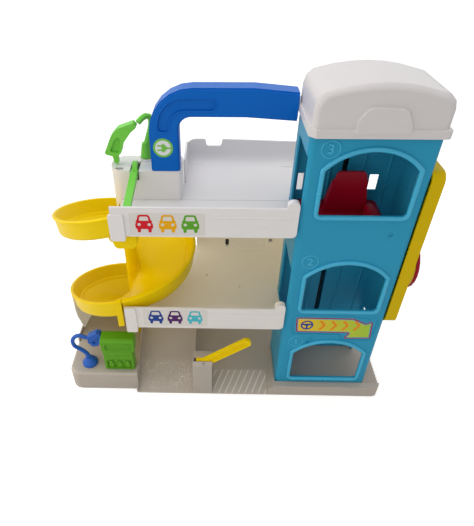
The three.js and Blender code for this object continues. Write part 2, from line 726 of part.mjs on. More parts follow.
function makeTowerRear() {
  const { left, right, split, back, top } = TOWER;
  const foot = FLOOR_1 + GAP;
  const plan = (inset) => [
    [left + inset, split + GAP - inset],
    [right - inset, split + GAP - inset],
    [right - inset, back - inset, inset ? 0 : 3],
    [left + inset, back - inset, inset ? 0 : 3],
  ];
  const shell = cut(prism("z", plan(0), foot, top), prism("z", plan(WALL), foot - 1, top + 1));
  const peepHoles = [
    box(70, back - 6, 276.5, 80, back + 2, 295.5),
    box(-9, back - 6, 275.5, -2.5, back + 2, 296.5),
  ];
  const slot = prism("y", rectangle(SLOT.left, SLOT.bottom, SLOT.right, SLOT.top, 2), back - 6, back + 2);
  const shaftHole = rod("x", DIAL.y, DIAL.z, 4.4, right - 8, right + 4);
  const ribs = [4, 24, 60, 88].map((x) => box(x, back - WALL - 1.2, foot, x + 2, back - 1, 340));
  const screwPosts = [-7, 97].map((x) => rod("y", x, 358, 3.5, split + 4, back - 1, 14));
  const whole = join(shell, ...ribs, ...screwPosts);
  return cut(whole, slot, ...peepHoles, shaftHole, ...towerDoors(split - 1, back - 8));
}

// Roof: a rim band and a barrel-shaped crown with rounded shoulders, hollow below, with a plain plaque
const ROOF = { left: -16.5, right: 104.5, front: -4, back: 84, crown: 415, bulge: 310, shoulder: 15 };
const BAND = { out: 2, bottom: 368, top: 376 };

// One rib of the crown as a closed (x, z) outline, drawn in by an inset all round.
function crownRib(inset) {
  const { left, right, crown, bulge, shoulder } = ROOF;
  const middle = 42;
  const arch = (x) => crown - inset - (x - middle) ** 2 / bulge;
  const side = right - inset;
  const other = left + inset;
  const radius = shoulder - inset / 2;
  const corner = (x, sign) =>
    [0, 30, 60, 90].map((turn) => {
      const angle = THREE.MathUtils.degToRad(turn);
      const across = x - sign * radius * (1 - Math.cos(angle));
      return [across, arch(x - sign * radius) - radius * (1 - Math.sin(angle))];
    });
  const crest = [72, 57, middle, 27, 12].map((x) => [x, arch(x)]);
  const bottom = BAND.top - 2;
  return [[other, bottom], [side, bottom], ...corner(side, 1), ...crest, ...corner(other, -1).toReversed()];
}

// The crown lofted from front to back through [y, inset] ribs.
function crownLoft(ribs) {
  const rings = ribs.map(([y, inset]) => crownRib(inset).map(([x, z]) => new THREE.Vector3(x, y, z)));
  return skin(rings, crownRib(ribs[0][1]).map(([x, z]) => new THREE.Vector2(-x, z)));
}

function makeRoof() {
  const { left, right, front, back } = ROOF;
  const band = (inset) => [
    [left - BAND.out + inset, front - BAND.out + 6, 2],
    [left - BAND.out + 6, front - BAND.out + inset, 2],
    [right + BAND.out - inset, front - BAND.out + inset, 4],
    [right + BAND.out - inset, back + BAND.out - inset, 10],
    [left - BAND.out + inset, back + BAND.out - inset, 10],
  ];
  const outer = crownLoft([
    [front, 6],
    [front + 1.5, 2.5],
    [front + 5, 0],
    [68, 0],
    [77, 2.5],
    [82, 7],
    [back, 12],
  ]);
  const inner = crownLoft([[front + 3, 4.5], [66, 2.4], [80, 10]]);
  const plaqueOutline = [
    [21.5, 373, 0],
    [69.4, 373, 0],
    [69, 380, 6],
    [62, 395, 8],
    [30, 396, 8],
    [21.3, 384, 8],
  ];
  const plaque = prism("y", plaqueOutline, front - 3, front + 2.5);
  const outside = join(prism("z", band(0), BAND.bottom, BAND.top), outer, plaque);
  return cut(outside, inner, prism("z", band(2.2), BAND.bottom - 1, BAND.top - 2));
}

// Lift: a platform with a tapered back plate and a kerb, and the shoe that ties it to the cord

function makeCarriage() {
  const bottom = FLOOR_3 - 3;
  const floor = prism("z", rectangle(-10.5, 6, 81, 66.8, 6), bottom, FLOOR_3);
  const plateOutline = [
    [LIFT_X - 25.5, bottom, 0],
    [LIFT_X + 24.5, bottom, 0],
    [LIFT_X + 14.5, 313, 5],
    [LIFT_X - 15, 313, 5],
  ];
  const plate = prism("y", plateOutline, 40, 42.6);
  const kerbOutline = [
    [60, bottom + 1, 0],
    [80.4, bottom + 1, 0],
    [79.6, FLOOR_3 + 2, 2],
    [71, 276.5, 5],
    [60, 276.5, 3],
  ];
  const kerb = prism("y", kerbOutline, 12, 38);
  const lip = prism("y", rectangle(-10.5, FLOOR_3 - 1, -8.5, FLOOR_3 + 1.2), 8, 62);
  const gussets = [LIFT_X - 19, LIFT_X + 17].map((x) =>
    prism("x", [[42, bottom + 1], [64, bottom + 1], [64, FLOOR_3 + 4], [42, 303]], x, x + 2),
  );
  const bracket = box(LIFT_X - 7.5, 42, 283, LIFT_X + 7.5, 66.8, 299);
  return join(floor, plate, kerb, lip, bracket, ...gussets);
}

function makeShoe() {
  const z0 = 283;
  const z1 = 299;
  const cordY = SHAFT_Y - CORD.pulley;
  const neck = box(SLOT.left + 0.6, 67.1, z0 + 2, SLOT.right - 0.6, 73, z1 - 2);
  const flange = box(SLOT.left - 4.5, 71.2, z0, SLOT.right + 4.5, 73.2, z1);
  const clamp = box(LIFT_X - 3, 73, z0 + 1, LIFT_X + 3, cordY + 1.2, z1 - 1);
  const room = CORD.radius + GAP;
  const groove = box(LIFT_X - room, cordY - room, z0, LIFT_X + room, 80, z1);
  return join(neck, flange, cut(clamp, groove));
}

// Haul cord: one closed loop up from the lift, over the top pulley, down to the drum, twice round it, on to
// the bottom pulley and up again
function cordRoute() {
  const points = [];
  const around = (x, z, radius, angle) =>
    new THREE.Vector3(x, SHAFT_Y + radius * Math.cos(angle), z + radius * Math.sin(angle));
  const half = 8;
  const perTurn = 12;
  for (let k = 0; k <= half; k++)
    points.push(around(LIFT_X, PULLEY_TOP, CORD.pulley, Math.PI * (1 - k / half)));
  const start = LIFT_X - (CORD.turns * CORD.pitch) / 2;
  for (let k = 0; k <= perTurn * CORD.turns; k++)
    points.push(around(start + (CORD.pitch * k) / perTurn, DIAL.z, CORD.drum, (-2 * Math.PI * k) / perTurn));
  for (let k = 0; k <= half; k++)
    points.push(around(LIFT_X, PULLEY_BOTTOM, CORD.pulley, (-Math.PI * k) / half));
  return points;
}

function makeCord() {
  const route = cordRoute();
  const sides = 5;
  const section = circle(0, 0, CORD.radius, sides);
  const positions = [];
  const index = [];
  route.forEach((centre, i) => {
    const before = route.at(i - 1);
    const after = route[(i + 1) % route.length];
    const along = after.clone().sub(before).normalize();
    const side = new THREE.Vector3(1, 0, 0).addScaledVector(along, -along.x).normalize();
    const up = along.clone().cross(side);
    section.forEach((p, k) => {
      const at = centre.clone().addScaledVector(side, p.x).addScaledVector(up, p.y);
      positions.push(at.x, at.y, at.z);
      const a = i * sides + k;
      const b = i * sides + ((k + 1) % sides);
      const c = ((i + 1) % route.length) * sides + k;
      const d = ((i + 1) % route.length) * sides + ((k + 1) % sides);
      index.push(a, b, c, b, d, c);
    });
  });
  const geometry = new THREE.BufferGeometry();
  geometry.setAttribute("position", new THREE.Float32BufferAttribute(positions, 3));
  geometry.setIndex(index);
  return solid(geometry);
}

// A grooved wheel for the cord: its groove is a little smaller than the cord's route.
function makePulley(z, route, flange, width, bore) {
  const groove = route - CORD.radius - GAP;
  return turned("x", SHAFT_Y, z, [
    [bore, LIFT_X - width / 2 - 1.4],
    [flange, LIFT_X - width / 2 - 1.4],
    [flange, LIFT_X - width / 2 - 0.4],
    [groove, LIFT_X - width / 2],
    [groove, LIFT_X + width / 2],
    [flange, LIFT_X + width / 2 + 0.4],
    [flange, LIFT_X + width / 2 + 1.4],
    [bore, LIFT_X + width / 2 + 1.4],
    [bore, LIFT_X - width / 2 - 1.4],
  ], 12);
}

// A toothed wheel outline in the (y, z) plane, with a tooth or a gap on the +Y side.
function wheelOutline(teeth, root, tip, rootShare, tipShare, phase, y, z) {
  const pitch = (2 * Math.PI) / teeth;
  const points = [];
  const tooth = [
    [root, -rootShare],
    [tip, -tipShare],
    [tip, tipShare],
    [root, rootShare],
  ];
  for (let k = 0; k < teeth; k++)
    for (const [radius, share] of tooth) {
      const angle = (k + phase + share) * pitch;
      points.push(new THREE.Vector2(y + radius * Math.cos(angle), z + radius * Math.sin(angle)));
    }
  return points;
}

function makeGear(teeth, phase, y, bore) {
  const radius = (GEAR.module * teeth) / 2;
  const root = radius - 1.3 * GEAR.module;
  const tip = radius + 0.95 * GEAR.module;
  const outline = wheelOutline(teeth, root, tip, 0.3, 0.12, phase, y, DIAL.z);
  const wheel = prism("x", outline, GEAR.left, GEAR.right);
  return cut(wheel, rod("x", y, DIAL.z, bore, GEAR.left - 1, GEAR.right + 1));
}

// Rear cover over the cord and pulleys, with a sleeve for the cross shaft
const COVER = { left: 26, right: 57, back: 102, bottom: FLOOR_1 + GAP, top: 350 };

function makeRearCover() {
  const { left, right, back, bottom, top } = COVER;
  const front = TOWER.back + GAP;
  const plan = (inset, edge, radius) => [
    [left + inset, edge, 0],
    [right - inset, edge, 0],
    [right - inset, back - inset, radius],
    [left + inset, back - inset, radius],
  ];
  const inside = prism("z", plan(WALL, front - 1, 4), bottom + WALL, top - WALL);
  const shell = cut(prism("z", plan(0, front, 6), bottom, top), inside);
  const feet = [60, 200, 330].flatMap((z) => [
    box(left - 9, front, z - 6, left + 1, front + 3, z + 6),
    box(right - 1, front, z - 6, right + 9, front + 3, z + 6),
  ]);
  const sleeve = rod("x", SHAFT_Y, DIAL.z, 6.5, right - 1, TOWER.right, 20);
  const bore = rod("x", SHAFT_Y, DIAL.z, 3.4, left + 1, TOWER.right + 1, 20);
  const pulleys = [PULLEY_TOP, PULLEY_BOTTOM];
  const pinHoles = pulleys.map((z) => rod("x", SHAFT_Y, z, 2.1, left - 1, right + 1, 12));
  return cut(join(shell, sleeve, ...feet), bore, ...pinHoles);
}

// Yellow housing on the tower's right side: a shallow box over the gears with a cone that carries the dial
const HOUSING = { left: TOWER.right + GAP, right: 117, bottom: 132.5, top: 332 };

function makeHousing() {
  const { left, right, bottom, top } = HOUSING;
  const start = (inset) => left - (inset ? 1 : 0);
  const panel = (inset) => {
    const outline = rectangle(-0.5 + inset, bottom + inset, 71 - inset, top - inset, 10 - inset);
    return prism("x", outline, start(inset), right - inset, 5);
  };
  const lobe = (inset) => {
    const from = left + (inset ? 1.5 : 0);
    const radius = 23.5 - inset;
    const throat = rectangle(50, DIAL.z - radius, SHAFT_Y, DIAL.z + radius);
    return join(
      prism("x", circle(SHAFT_Y, DIAL.z, radius, 24), from, right - inset),
      prism("x", throat, from, right - inset),
    );
  };
  const coneProfile = [
    [4.4, right - 1],
    [35.2, right - 1],
    [35.2, right],
    [32.5, right + 4.6],
    [4.4, right + 4.6],
    [4.4, right - 1],
  ];
  const cone = turned("x", DIAL.y, DIAL.z, coneProfile, 24);
  const shell = cut(join(panel(0), lobe(0)), panel(2.2), lobe(2.2));
  const bore = rod("x", DIAL.y, DIAL.z, 4.4, left - 1, right + 6);
  const crossBore = rod("x", SHAFT_Y, DIAL.z, 3.4, left - 1, left + 3, 20);
  return join(cut(shell, bore, crossBore), cone);
}

const DIAL_FACE = HOUSING.right + 5; // left face of the dial

function makeDial() {
  const x0 = DIAL_FACE;
  const rimProfile = [
    [4.3, x0],
    [DIAL.radius, x0],
    [DIAL.radius, x0 + 3.4],
    [31, x0 + 4.8],
    [27, x0 + 4.8],
    [25, x0 + 3],
    [4.3, x0 + 3],
    [4.3, x0],
  ];
  const rim = turned("x", DIAL.y, DIAL.z, rimProfile, 24);
  const gripOutline = rectangle(DIAL.y - 26, DIAL.z - 6, DIAL.y + 26, DIAL.z + 6, 5.9);
  const grip = prism("x", gripOutline, x0 + 2, x0 + 6.5, 5);
  const bore = rod("x", DIAL.y, DIAL.z, 4.3, x0 - 1, x0 + 4.5);
  return cut(join(rim, grip), bore);
}

function makeDialShaft() {
  const start = TOWER.right - 6;
  return join(
    rod("x", DIAL.y, DIAL.z, 4, start, DIAL_FACE + 4.2),
    rod("x", DIAL.y, DIAL.z, 6.5, start, TOWER.right - WALL - GAP),
  );
}

function makeCrossShaft() {
  return rod("x", SHAFT_Y, DIAL.z, 3, COVER.left + WALL + 0.5, GEAR.right + 0.8, 20);
}

// Barriers

function makeGroundGate() {
  const { x, z, tilt } = GATE;
  const arm = prism("y", [[-3, -5, 2], [8, -8.5, 3], [71, -8.5, 5.8], [71, 3.4, 5.8], [-3, 3.4, 2]], -4, 1);
  const tail = prism("y", [[-9.5, 3.6, 1.5], [-6, 8.6, 1.5], [1, 3, 0], [-2, -3, 0]], -4, 1);
  const grooves = Array.from({ length: 11 }, (_, k) => box(9 + k * 5.2, -5, -6, 12.4 + k * 5.2, -3.2, 1.2));
  const notch = box(-12, -2.6, -20, -6.5, -0.4, 20);
  const whole = cut(join(arm, tail), rod("y", 0, 0, 1.6, -6, 8, 12), notch, ...grooves);
  const turn = new THREE.Matrix4().makeRotationY(-THREE.MathUtils.degToRad(tilt));
  turn.setPosition(x, 0, z);
  return whole.transform(turn.toArray());
}

function makeUpperGate() {
  const { left, right, y, z } = UPPER_GATE;
  const armOutline = [
    [1.5, 287, 1.8],
    [1.5, 291.5, 1.8],
    [56, z + 2.6, 3],
    [y + 3, z + 2.6, 2],
    [y + 3, z - 3.2, 2],
    [y - 3, z - 3.2, 3],
  ];
  const headOutline = [
    [y - 4, z - 3, 0],
    [y + 3, z - 3, 2],
    [y + 8, z + 6, 2],
    [y + 6, z + 10.4, 2.6],
    [y - 1, z + 10.4, 2.6],
    [y - 4, z + 4, 0],
  ];
  const body = join(prism("x", armOutline, left, right), prism("x", headOutline, left + 1.8, right - 0.8));
  return cut(body, rod("x", y, z, 1.5, left - 1, right + 1, 12));
}

// Charging pump, its plug-in hoses and nozzles
const PUMP = { left: -247, right: -206.8, front: 5, back: 21, neck: 68.5, top: 90.5 };

function makePumpBody() {
  const { left, right, front, back, neck } = PUMP;
  const bottom = PLATFORM_TOP + GAP;
  const body = prism("z", rectangle(left, front, right, back, 2), bottom, neck);
  const recessOutline = rectangle(left + 4, bottom + 3, right - 4, bottom + 19, 1.5);
  const recess = prism("y", recessOutline, front - 1, front + 2);
  const plugs = [0, 1, 2].map((k) => {
    const x = left + 9.2 + k * 11;
    return join(
      prism("y", circle(x, bottom + 14.2, 2.4, 12), front + 0.4, front + 3),
      prism("y", rectangle(x - 3.2, bottom + 4.4, x + 3.2, bottom + 12.4, 2), front + 0.4, front + 3),
    );
  });
  const keys = [0, 1, 2].map((k) => {
    const x = left + 6 + k * 10;
    const width = k < 2 ? 5 : 9;
    return prism("y", rectangle(x, bottom + 25, x + width, bottom + 28, 1), front - 0.7, front + 1);
  });
  const hollow = box(left + 2.5, front + 4.5, bottom - 1, right - 2.5, back - 2.5, neck - 3);
  return join(cut(body, recess, hollow), ...plugs, ...keys);
}

function makePumpHead() {
  const { left, neck, top } = PUMP;
  const right = PUMP.right + 3.3;
  const side = [
    [2.5, neck + GAP, 2],
    [21.5, neck + GAP, 0],
    [21.5, top, 2],
    [6, top, 3],
    [2.5, top - 3.5, 3],
  ];
  const screen = prism("y", rectangle(left + 5, neck + 5, right - 5, top - 7, 1.5), 0, 3.9);
  return cut(prism("x", side, left, right), screen);
}

const PUMP_HOSE_FOOT = { x: -270, y: 16 };

function makePumpHose() {
  const { x, y } = PUMP_HOSE_FOOT;
  const base = PLATFORM_TOP;
  const footProfile = [
    [0, base + GAP],
    [10.5, base + GAP],
    [10.5, base + 3],
    [4.2, base + 12],
    [0, base + 12],
  ];
  const route = [
    [x, y, 41, 3.4],
    [-272.5, 17, 49, 2.9],
    [-279.5, 18, 56, 2.8],
    [-287, 18, 62.5, 2.8],
    [-288.3, 18, 73, 2.8],
    [-283, 18, 81.5, 2.8],
    [-276, 17.5, 84, 2.8],
    [-271, 17, 81.6, 2.8],
    [-267.2, 17, 80.6, 2.8],
  ];
  return join(turned("z", x, y, footProfile, 16), bar(route, 14, 8));
}

function makePumpNozzle() {
  const outline = [
    [-266, 85.2, 2],
    [-266, 75.6, 2],
    [-261, 68, 2],
    [-253, 69.5, 1],
    [-247.8, 81, 2],
    [-247.8, 91, 2],
    [-253, 92.5, 2],
  ];
  const recess = [
    [-261, 76, 1],
    [-257.5, 72, 1],
    [-251, 82, 1],
    [-251, 87, 1],
  ];
  return cut(prism("y", outline, 12.5, 21.5), prism("y", recess, 11, 14.2));
}

function makeCabinetHose() {
  const { x, y } = HOSE_FOOT;
  const base = CABINET.top;
  const footProfile = [
    [0, base - 5],
    [4.9, base - 5],
    [4.9, base + 3],
    [6.8, base + 3.6],
    [4.2, base + 20],
    [0, base + 20],
  ];
  const route = [
    [x + 0.5, y, base + 14, 4],
    [x + 3.8, y, base + 27, 3.3],
    [x + 7, y, base + 37, 3.3],
    [x + 8.2, y, base + 46, 3.3],
    [x + 5, y - 1, base + 51.3, 3.3],
    [x - 0.5, y - 5, base + 50, 3.3],
    [x - 4.6, y - 9, base + 46.6, 3.3],
  ];
  return join(turned("z", x, y, footProfile, 14), bar(route, 14, 8));
}

function makeCabinetNozzle() {
  const front = 72.5;
  const back = 83.5;
  const outline = [
    [-188.2, 349.8, 1],
    [-205.3, 343.7, 5],
    [-212.7, 335.9, 4],
    [-222.6, 315.1, 2],
    [-214.5, 312.6, 1],
    [-208, 312, 2],
    [-203.7, 316.4, 2],
    [-200.8, 326.9, 5],
    [-191.3, 339.4, 4],
    [-184.7, 345, 1],
  ];
  const recess = [
    [-204, 336.5, 2],
    [-210.5, 330, 3],
    [-216.5, 317.4, 2],
    [-206, 316.5, 1.5],
    [-203, 330.9, 2],
  ];
  const tipOutline = [
    [-214.8, 314],
    [-213.4, 304, 1.5],
    [-209.6, 301.6, 1.5],
    [-208, 304, 1],
    [-208.3, 314],
  ];
  const tip = prism("y", tipOutline, 75.5, 80.5);
  return join(cut(prism("y", outline, front, back), prism("y", recess, front - 1, front + 3)), tip);
}

// Pins of the two pulleys, across the rear cover, and of the two gates
function makePulleyPin(z) {
  return rod("x", SHAFT_Y, z, 1.8, COVER.left + 0.3, COVER.right - 0.3, 10);
}

function makeGroundGatePin() {
  return rod("y", GATE.x, GATE.z, 1.3, -8.4, 10, 10);
}

function makeUpperGatePin() {
  const { left, right, y, z } = UPPER_GATE;
  return rod("x", y, z, 1.2, left - 4, right + 4, 10);
}

// The list of pieces: each is one moulding or fitting with its own material

const PIECES = [
  ["base", makeBase(), COLOUR.taupe, 0.5],
  ["back_wall", makeBackWall(), COLOUR.ivory, 0.5],
  ["deck_2", makeDeck2(), COLOUR.ivory, 0.45],
  ["deck_3", makeDeck3(), COLOUR.white, 0.45],
  ["spiral_upper", makeSpiralUpper(), COLOUR.yellow, 0.35],
  ["spiral_lower", makeSpiralLower(), COLOUR.yellow, 0.35],
  ["charging_cabinet", makeCabinet(), COLOUR.white, 0.45],
  ["carry_handle", makeHandle(), COLOUR.handleBlue, 0.35],
  ["tower_front", makeTowerFront(), COLOUR.blue, 0.45],
  ["tower_rear", makeTowerRear(), COLOUR.blue, 0.45],
  ["rear_cover", makeRearCover(), COLOUR.blue, 0.45],
  ["roof_cap", makeRoof(), COLOUR.white, 0.45],
  ["side_housing", makeHousing(), COLOUR.yellow, 0.35],
  ["lift_dial", makeDial(), COLOUR.red, 0.35],
  ["dial_shaft", makeDialShaft(), COLOUR.black, 0.5],
  ["dial_gear", makeGear(GEAR.dial, 0, DIAL.y, 4.3), COLOUR.black, 0.5],
  ["shaft_pinion", makeGear(GEAR.pinion, 0.5, SHAFT_Y, 3.3), COLOUR.black, 0.5],
  ["cross_shaft", makeCrossShaft(), COLOUR.steel, 0.3],
  ["winding_drum", makePulley(DIAL.z, CORD.drum, 8.6, 8.2, 3.3), COLOUR.black, 0.5],
  ["haul_cord", makeCord(), COLOUR.black, 0.9],
  ["top_pulley", makePulley(PULLEY_TOP, CORD.pulley, 11.5, 2.6, 2.2), COLOUR.black, 0.5],
  ["bottom_pulley", makePulley(PULLEY_BOTTOM, CORD.pulley, 11.5, 2.6, 2.2), COLOUR.black, 0.5],
  ["top_pulley_pin", makePulleyPin(PULLEY_TOP), COLOUR.steel, 0.3],
  ["bottom_pulley_pin", makePulleyPin(PULLEY_BOTTOM), COLOUR.steel, 0.3],
  ["lift_carriage", makeCarriage(), COLOUR.red, 0.4],
  ["carriage_shoe", makeShoe(), COLOUR.black, 0.5],
  ["ground_gate", makeGroundGate(), COLOUR.yellow, 0.35],
  ["ground_gate_pin", makeGroundGatePin(), COLOUR.steel, 0.3],
  ["upper_gate", makeUpperGate(), COLOUR.lightGreen, 0.35],
  ["upper_gate_pin", makeUpperGatePin(), COLOUR.steel, 0.3],
  ["pump_body", makePumpBody(), COLOUR.green, 0.35],
  ["pump_head", makePumpHead(), COLOUR.green, 0.35],
  ["pump_hose", makePumpHose(), COLOUR.hoseBlue, 0.35],
  ["pump_nozzle", makePumpNozzle(), COLOUR.hoseBlue, 0.35],
  ["cabinet_hose", makeCabinetHose(), COLOUR.lightGreen, 0.35],
  ["cabinet_nozzle", makeCabinetNozzle(), COLOUR.lightGreen, 0.35],
];

// The part's origin is on the ground under the middle of the whole garage
const MIDDLE = { x: -83.75, y: 78.3 };

function meshOf(name, body, colour, roughness) {
  const { vertProperties, triVerts, numProp } = body.getMesh();
  const positions = new Float32Array((vertProperties.length / numProp) * 3);
  for (let i = 0; i < positions.length / 3; i++)
    positions.set(vertProperties.subarray(i * numProp, i * numProp + 3), i * 3);
  const geometry = new THREE.BufferGeometry();
  geometry.setAttribute("position", new THREE.BufferAttribute(positions, 3));
  geometry.setIndex(new THREE.BufferAttribute(triVerts, 1));
  geometry.computeVertexNormals();
  const metalness = colour === COLOUR.steel ? 0.9 : 0;
  const material = new THREE.MeshStandardMaterial({ color: colour, roughness, metalness });
  const mesh = new THREE.Mesh(geometry, material);
  mesh.name = name;
  return mesh;
}

const garage = new THREE.Group();
for (const [name, body, colour, roughness] of PIECES) garage.add(meshOf(name, body, colour, roughness));
garage.position.set(-MIDDLE.x, -MIDDLE.y, 0);

const part = new THREE.Group();
part.add(garage);
export default part;
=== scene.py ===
# %% [markdown]
# # A toy parking garage, dressed for its picture
#
# The real toy is a playset of thick coloured mouldings: a taupe base, pale decks, a yellow ramp, a blue
# lift tower and a few bright fittings. The engineering model already has the right shapes and sizes, so
# this lesson loads it, softens its edges, gives each moulding a plastic that looks like plastic, and adds
# the small pieces that only matter to the eye: printed car signs, raised floor numbers, a screw and a
# direction arrow.

# %% Load the frame
import bpy
import math
from mathutils import Euler, Matrix, Quaternion, Vector


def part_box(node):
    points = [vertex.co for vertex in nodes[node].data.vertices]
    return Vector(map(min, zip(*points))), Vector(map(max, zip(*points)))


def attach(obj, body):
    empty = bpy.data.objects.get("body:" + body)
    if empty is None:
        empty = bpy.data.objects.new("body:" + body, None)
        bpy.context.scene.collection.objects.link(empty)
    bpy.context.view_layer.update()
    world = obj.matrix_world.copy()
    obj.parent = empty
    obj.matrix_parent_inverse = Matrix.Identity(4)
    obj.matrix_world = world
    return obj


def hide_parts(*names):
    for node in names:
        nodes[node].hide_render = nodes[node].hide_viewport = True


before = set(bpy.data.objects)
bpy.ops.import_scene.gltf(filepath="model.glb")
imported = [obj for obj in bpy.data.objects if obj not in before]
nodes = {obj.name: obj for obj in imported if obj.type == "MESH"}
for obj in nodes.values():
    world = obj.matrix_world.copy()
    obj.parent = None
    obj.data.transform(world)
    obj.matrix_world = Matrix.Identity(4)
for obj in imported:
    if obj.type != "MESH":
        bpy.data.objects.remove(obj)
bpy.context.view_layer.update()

# %% [markdown]
# ## Where things are
#
# Every measure below is in millimetres from one point on the ground, in the plane of the lift tower's front
# and 16 to the right of its left side. The point is worked out from the loaded tower, so that the dressing
# follows the model if it moves.

# %% The garage's zero point
MM = 0.001
TOWER_LEFT = -16
TOWER_SPLIT = 36  # where the tower's front moulding ends and its rear one begins
tower_low, tower_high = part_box("tower_front")
ZERO = Vector((tower_low.x - TOWER_LEFT * MM, tower_high.y - TOWER_SPLIT * MM, 0))


def at(x, y, z):
    """A point of the garage, given in millimetres from its zero point."""
    return ZERO + Vector((x, y, z)) * MM


print("zero point at", [round(v, 4) for v in ZERO])

# %% [markdown]
# ## Working by operators
#
# Blender's operators act on whatever is selected, and loading the model leaves its nodes selected. These
# small helpers start each piece from an empty selection, pick the objects to work on, and move a new
# piece's place into its mesh.

# %% Selection helpers


def deselect():
    bpy.ops.object.select_all(action="DESELECT")


def pick(*objects):
    deselect()
    for o in objects:
        o.select_set(True)
    bpy.context.view_layer.objects.active = objects[0]


def named(name):
    """The piece just made, with its own name and its place moved into its mesh."""
    piece = bpy.context.object
    piece.name = name
    piece.data.name = name
    bpy.ops.object.transform_apply(location=True, rotation=True, scale=True)
    return piece


def finish_with(piece, kind, **settings):
    """Adds a modifier, sets it and applies it."""
    pick(piece)
    modifier = piece.modifiers.new(kind.title(), kind)
    for key, value in settings.items():
        setattr(modifier, key, value)
    bpy.ops.object.modifier_apply(modifier=modifier.name)
    return piece


def smooth(piece, angle=35):
    pick(piece)
    bpy.ops.object.shade_smooth_by_angle(angle=math.radians(angle))
    return piece


deselect()
print("selected now:", len(bpy.context.selected_objects))

# %% [markdown]
# ## Outlines, plates and beads
#
# Many small things on a toy are flat shapes seen from the front: a printed sign, a raised ring, a bead
# round a window. They could be cut from blocks, but it is quicker to draw their outline as a curve and let
# Blender fill it or thicken it, and then to turn the curve into a mesh. Outlines are lists of (x, z) in
# millimetres.

# %% An outline with rounded corners


def rounded(corners, steps=5):
    """The points of a closed outline whose corners (x, z, radius) are rounded off."""
    points = []
    for i, (x, z, radius) in enumerate(corners):
        corner = Vector((x, z))
        if not radius:
            points.append((x, z))
            continue
        before = (Vector(corners[i - 1][:2]) - corner).normalized()
        after = (Vector(corners[(i + 1) % len(corners)][:2]) - corner).normalized()
        half = before.angle(after) / 2
        centre = corner + (before + after).normalized() * (radius / math.sin(half))
        start = corner + before * (radius / math.tan(half)) - centre
        end = corner + after * (radius / math.tan(half)) - centre
        turn = start.angle_signed(end)
        for k in range(steps + 1):
            points.append(tuple(centre + Matrix.Rotation(-turn * k / steps, 2) @ start))
    return points


def box_outline(x0, z0, x1, z1, radius=0):
    return rounded([(x0, z0, radius), (x1, z0, radius), (x1, z1, radius), (x0, z1, radius)])


def ring_outline(x, z, radius, sides=48):
    turns = [2 * math.pi * k / sides for k in range(sides)]
    return [(x + radius * math.cos(turn), z + radius * math.sin(turn)) for turn in turns]


def drawn_in(corners, inset):
    """The corners of an outline moved inwards all round; the outline runs anticlockwise."""
    moved = []
    for i, (x, z, radius) in enumerate(corners):
        before = (Vector((x, z)) - Vector(corners[i - 1][:2])).normalized()
        after = (Vector(corners[(i + 1) % len(corners)][:2]) - Vector((x, z))).normalized()
        one, two = Vector((-before.y, before.x)), Vector((-after.y, after.x))
        place = Vector((x, z)) + (one + two) * (inset / (1 + one.dot(two)))
        convex = before.cross(after) > 0
        moved.append((place.x, place.y, max(0.3, radius - inset if convex else radius + inset)))
    return moved


print("a car sign's corner has", len(rounded([(0, 0, 1), (9, 0, 1), (9, 9, 1)])) // 3, "points")

# %% A plate from outlines, and a bead along one
DOUBLES = 0.005 * MM  # points nearer to each other than this are one
BEAD_RESOLUTION, BEAD_ANGLE = 3, 60


def as_mesh(curve, name):
    """Turns a curve into a mesh object with its doubles merged and its faces pointing out."""
    sketch = bpy.data.objects.new(name, curve)
    bpy.context.collection.objects.link(sketch)
    pick(sketch)
    bpy.ops.object.convert(target="MESH")
    mend(bpy.context.object)


def mend(piece):
    """Merges a mesh's double points and turns all its faces outwards."""
    pick(piece)
    bpy.ops.object.mode_set(mode="EDIT")
    bpy.ops.mesh.select_all(action="SELECT")
    bpy.ops.mesh.remove_doubles(threshold=DOUBLES)
    bpy.ops.mesh.normals_make_consistent(inside=False)
    bpy.ops.object.mode_set(mode="OBJECT")


def plate(name, outlines, front, thickness):
    """A flat plate that faces the front: its first outline is its edge and the others are holes."""
    curve = bpy.data.curves.new(name, "CURVE")
    curve.dimensions = "2D"
    curve.fill_mode = "BOTH"
    curve.extrude = thickness / 2 * MM
    for outline in outlines:
        spline = curve.splines.new("POLY")
        spline.points.add(len(outline) - 1)
        for point, (x, z) in zip(spline.points, outline):
            point.co = (x * MM, z * MM, 0, 1)
        spline.use_cyclic_u = True
    as_mesh(curve, name)
    bpy.context.object.rotation_euler = (math.pi / 2, 0, 0)
    bpy.context.object.location = at(0, front + thickness / 2, 0)
    return named(name)


def bead(name, points, radius, closed=True):
    """A round bead along points (x, y, z), as moulded round an opening."""
    curve = bpy.data.curves.new(name, "CURVE")
    curve.dimensions = "3D"
    curve.bevel_depth = radius * MM
    curve.bevel_resolution = BEAD_RESOLUTION
    curve.use_fill_caps = True
    spline = curve.splines.new("POLY")
    spline.points.add(len(points) - 1)
    for point, place in zip(spline.points, points):
        point.co = (*at(*place), 1)
    spline.use_cyclic_u = closed
    as_mesh(curve, name)
    return smooth(named(name), BEAD_ANGLE)


def place_on(piece, material):
    """Gives a piece its material and the garage to ride on."""
    piece.data.materials.clear()
    piece.data.materials.append(finish[material])
    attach(piece, "garage")


print("plates and beads are ready")

# %% [markdown]
# ## Shader maths in Python
#
# A plastic is a sum of small effects: a little mottling in its colour, a fine grain, a few scuffs. The
# class below wraps a shader socket, so that such a sum is written as an ordinary expression and becomes
# Math nodes.

# %% A socket that can be added and multiplied


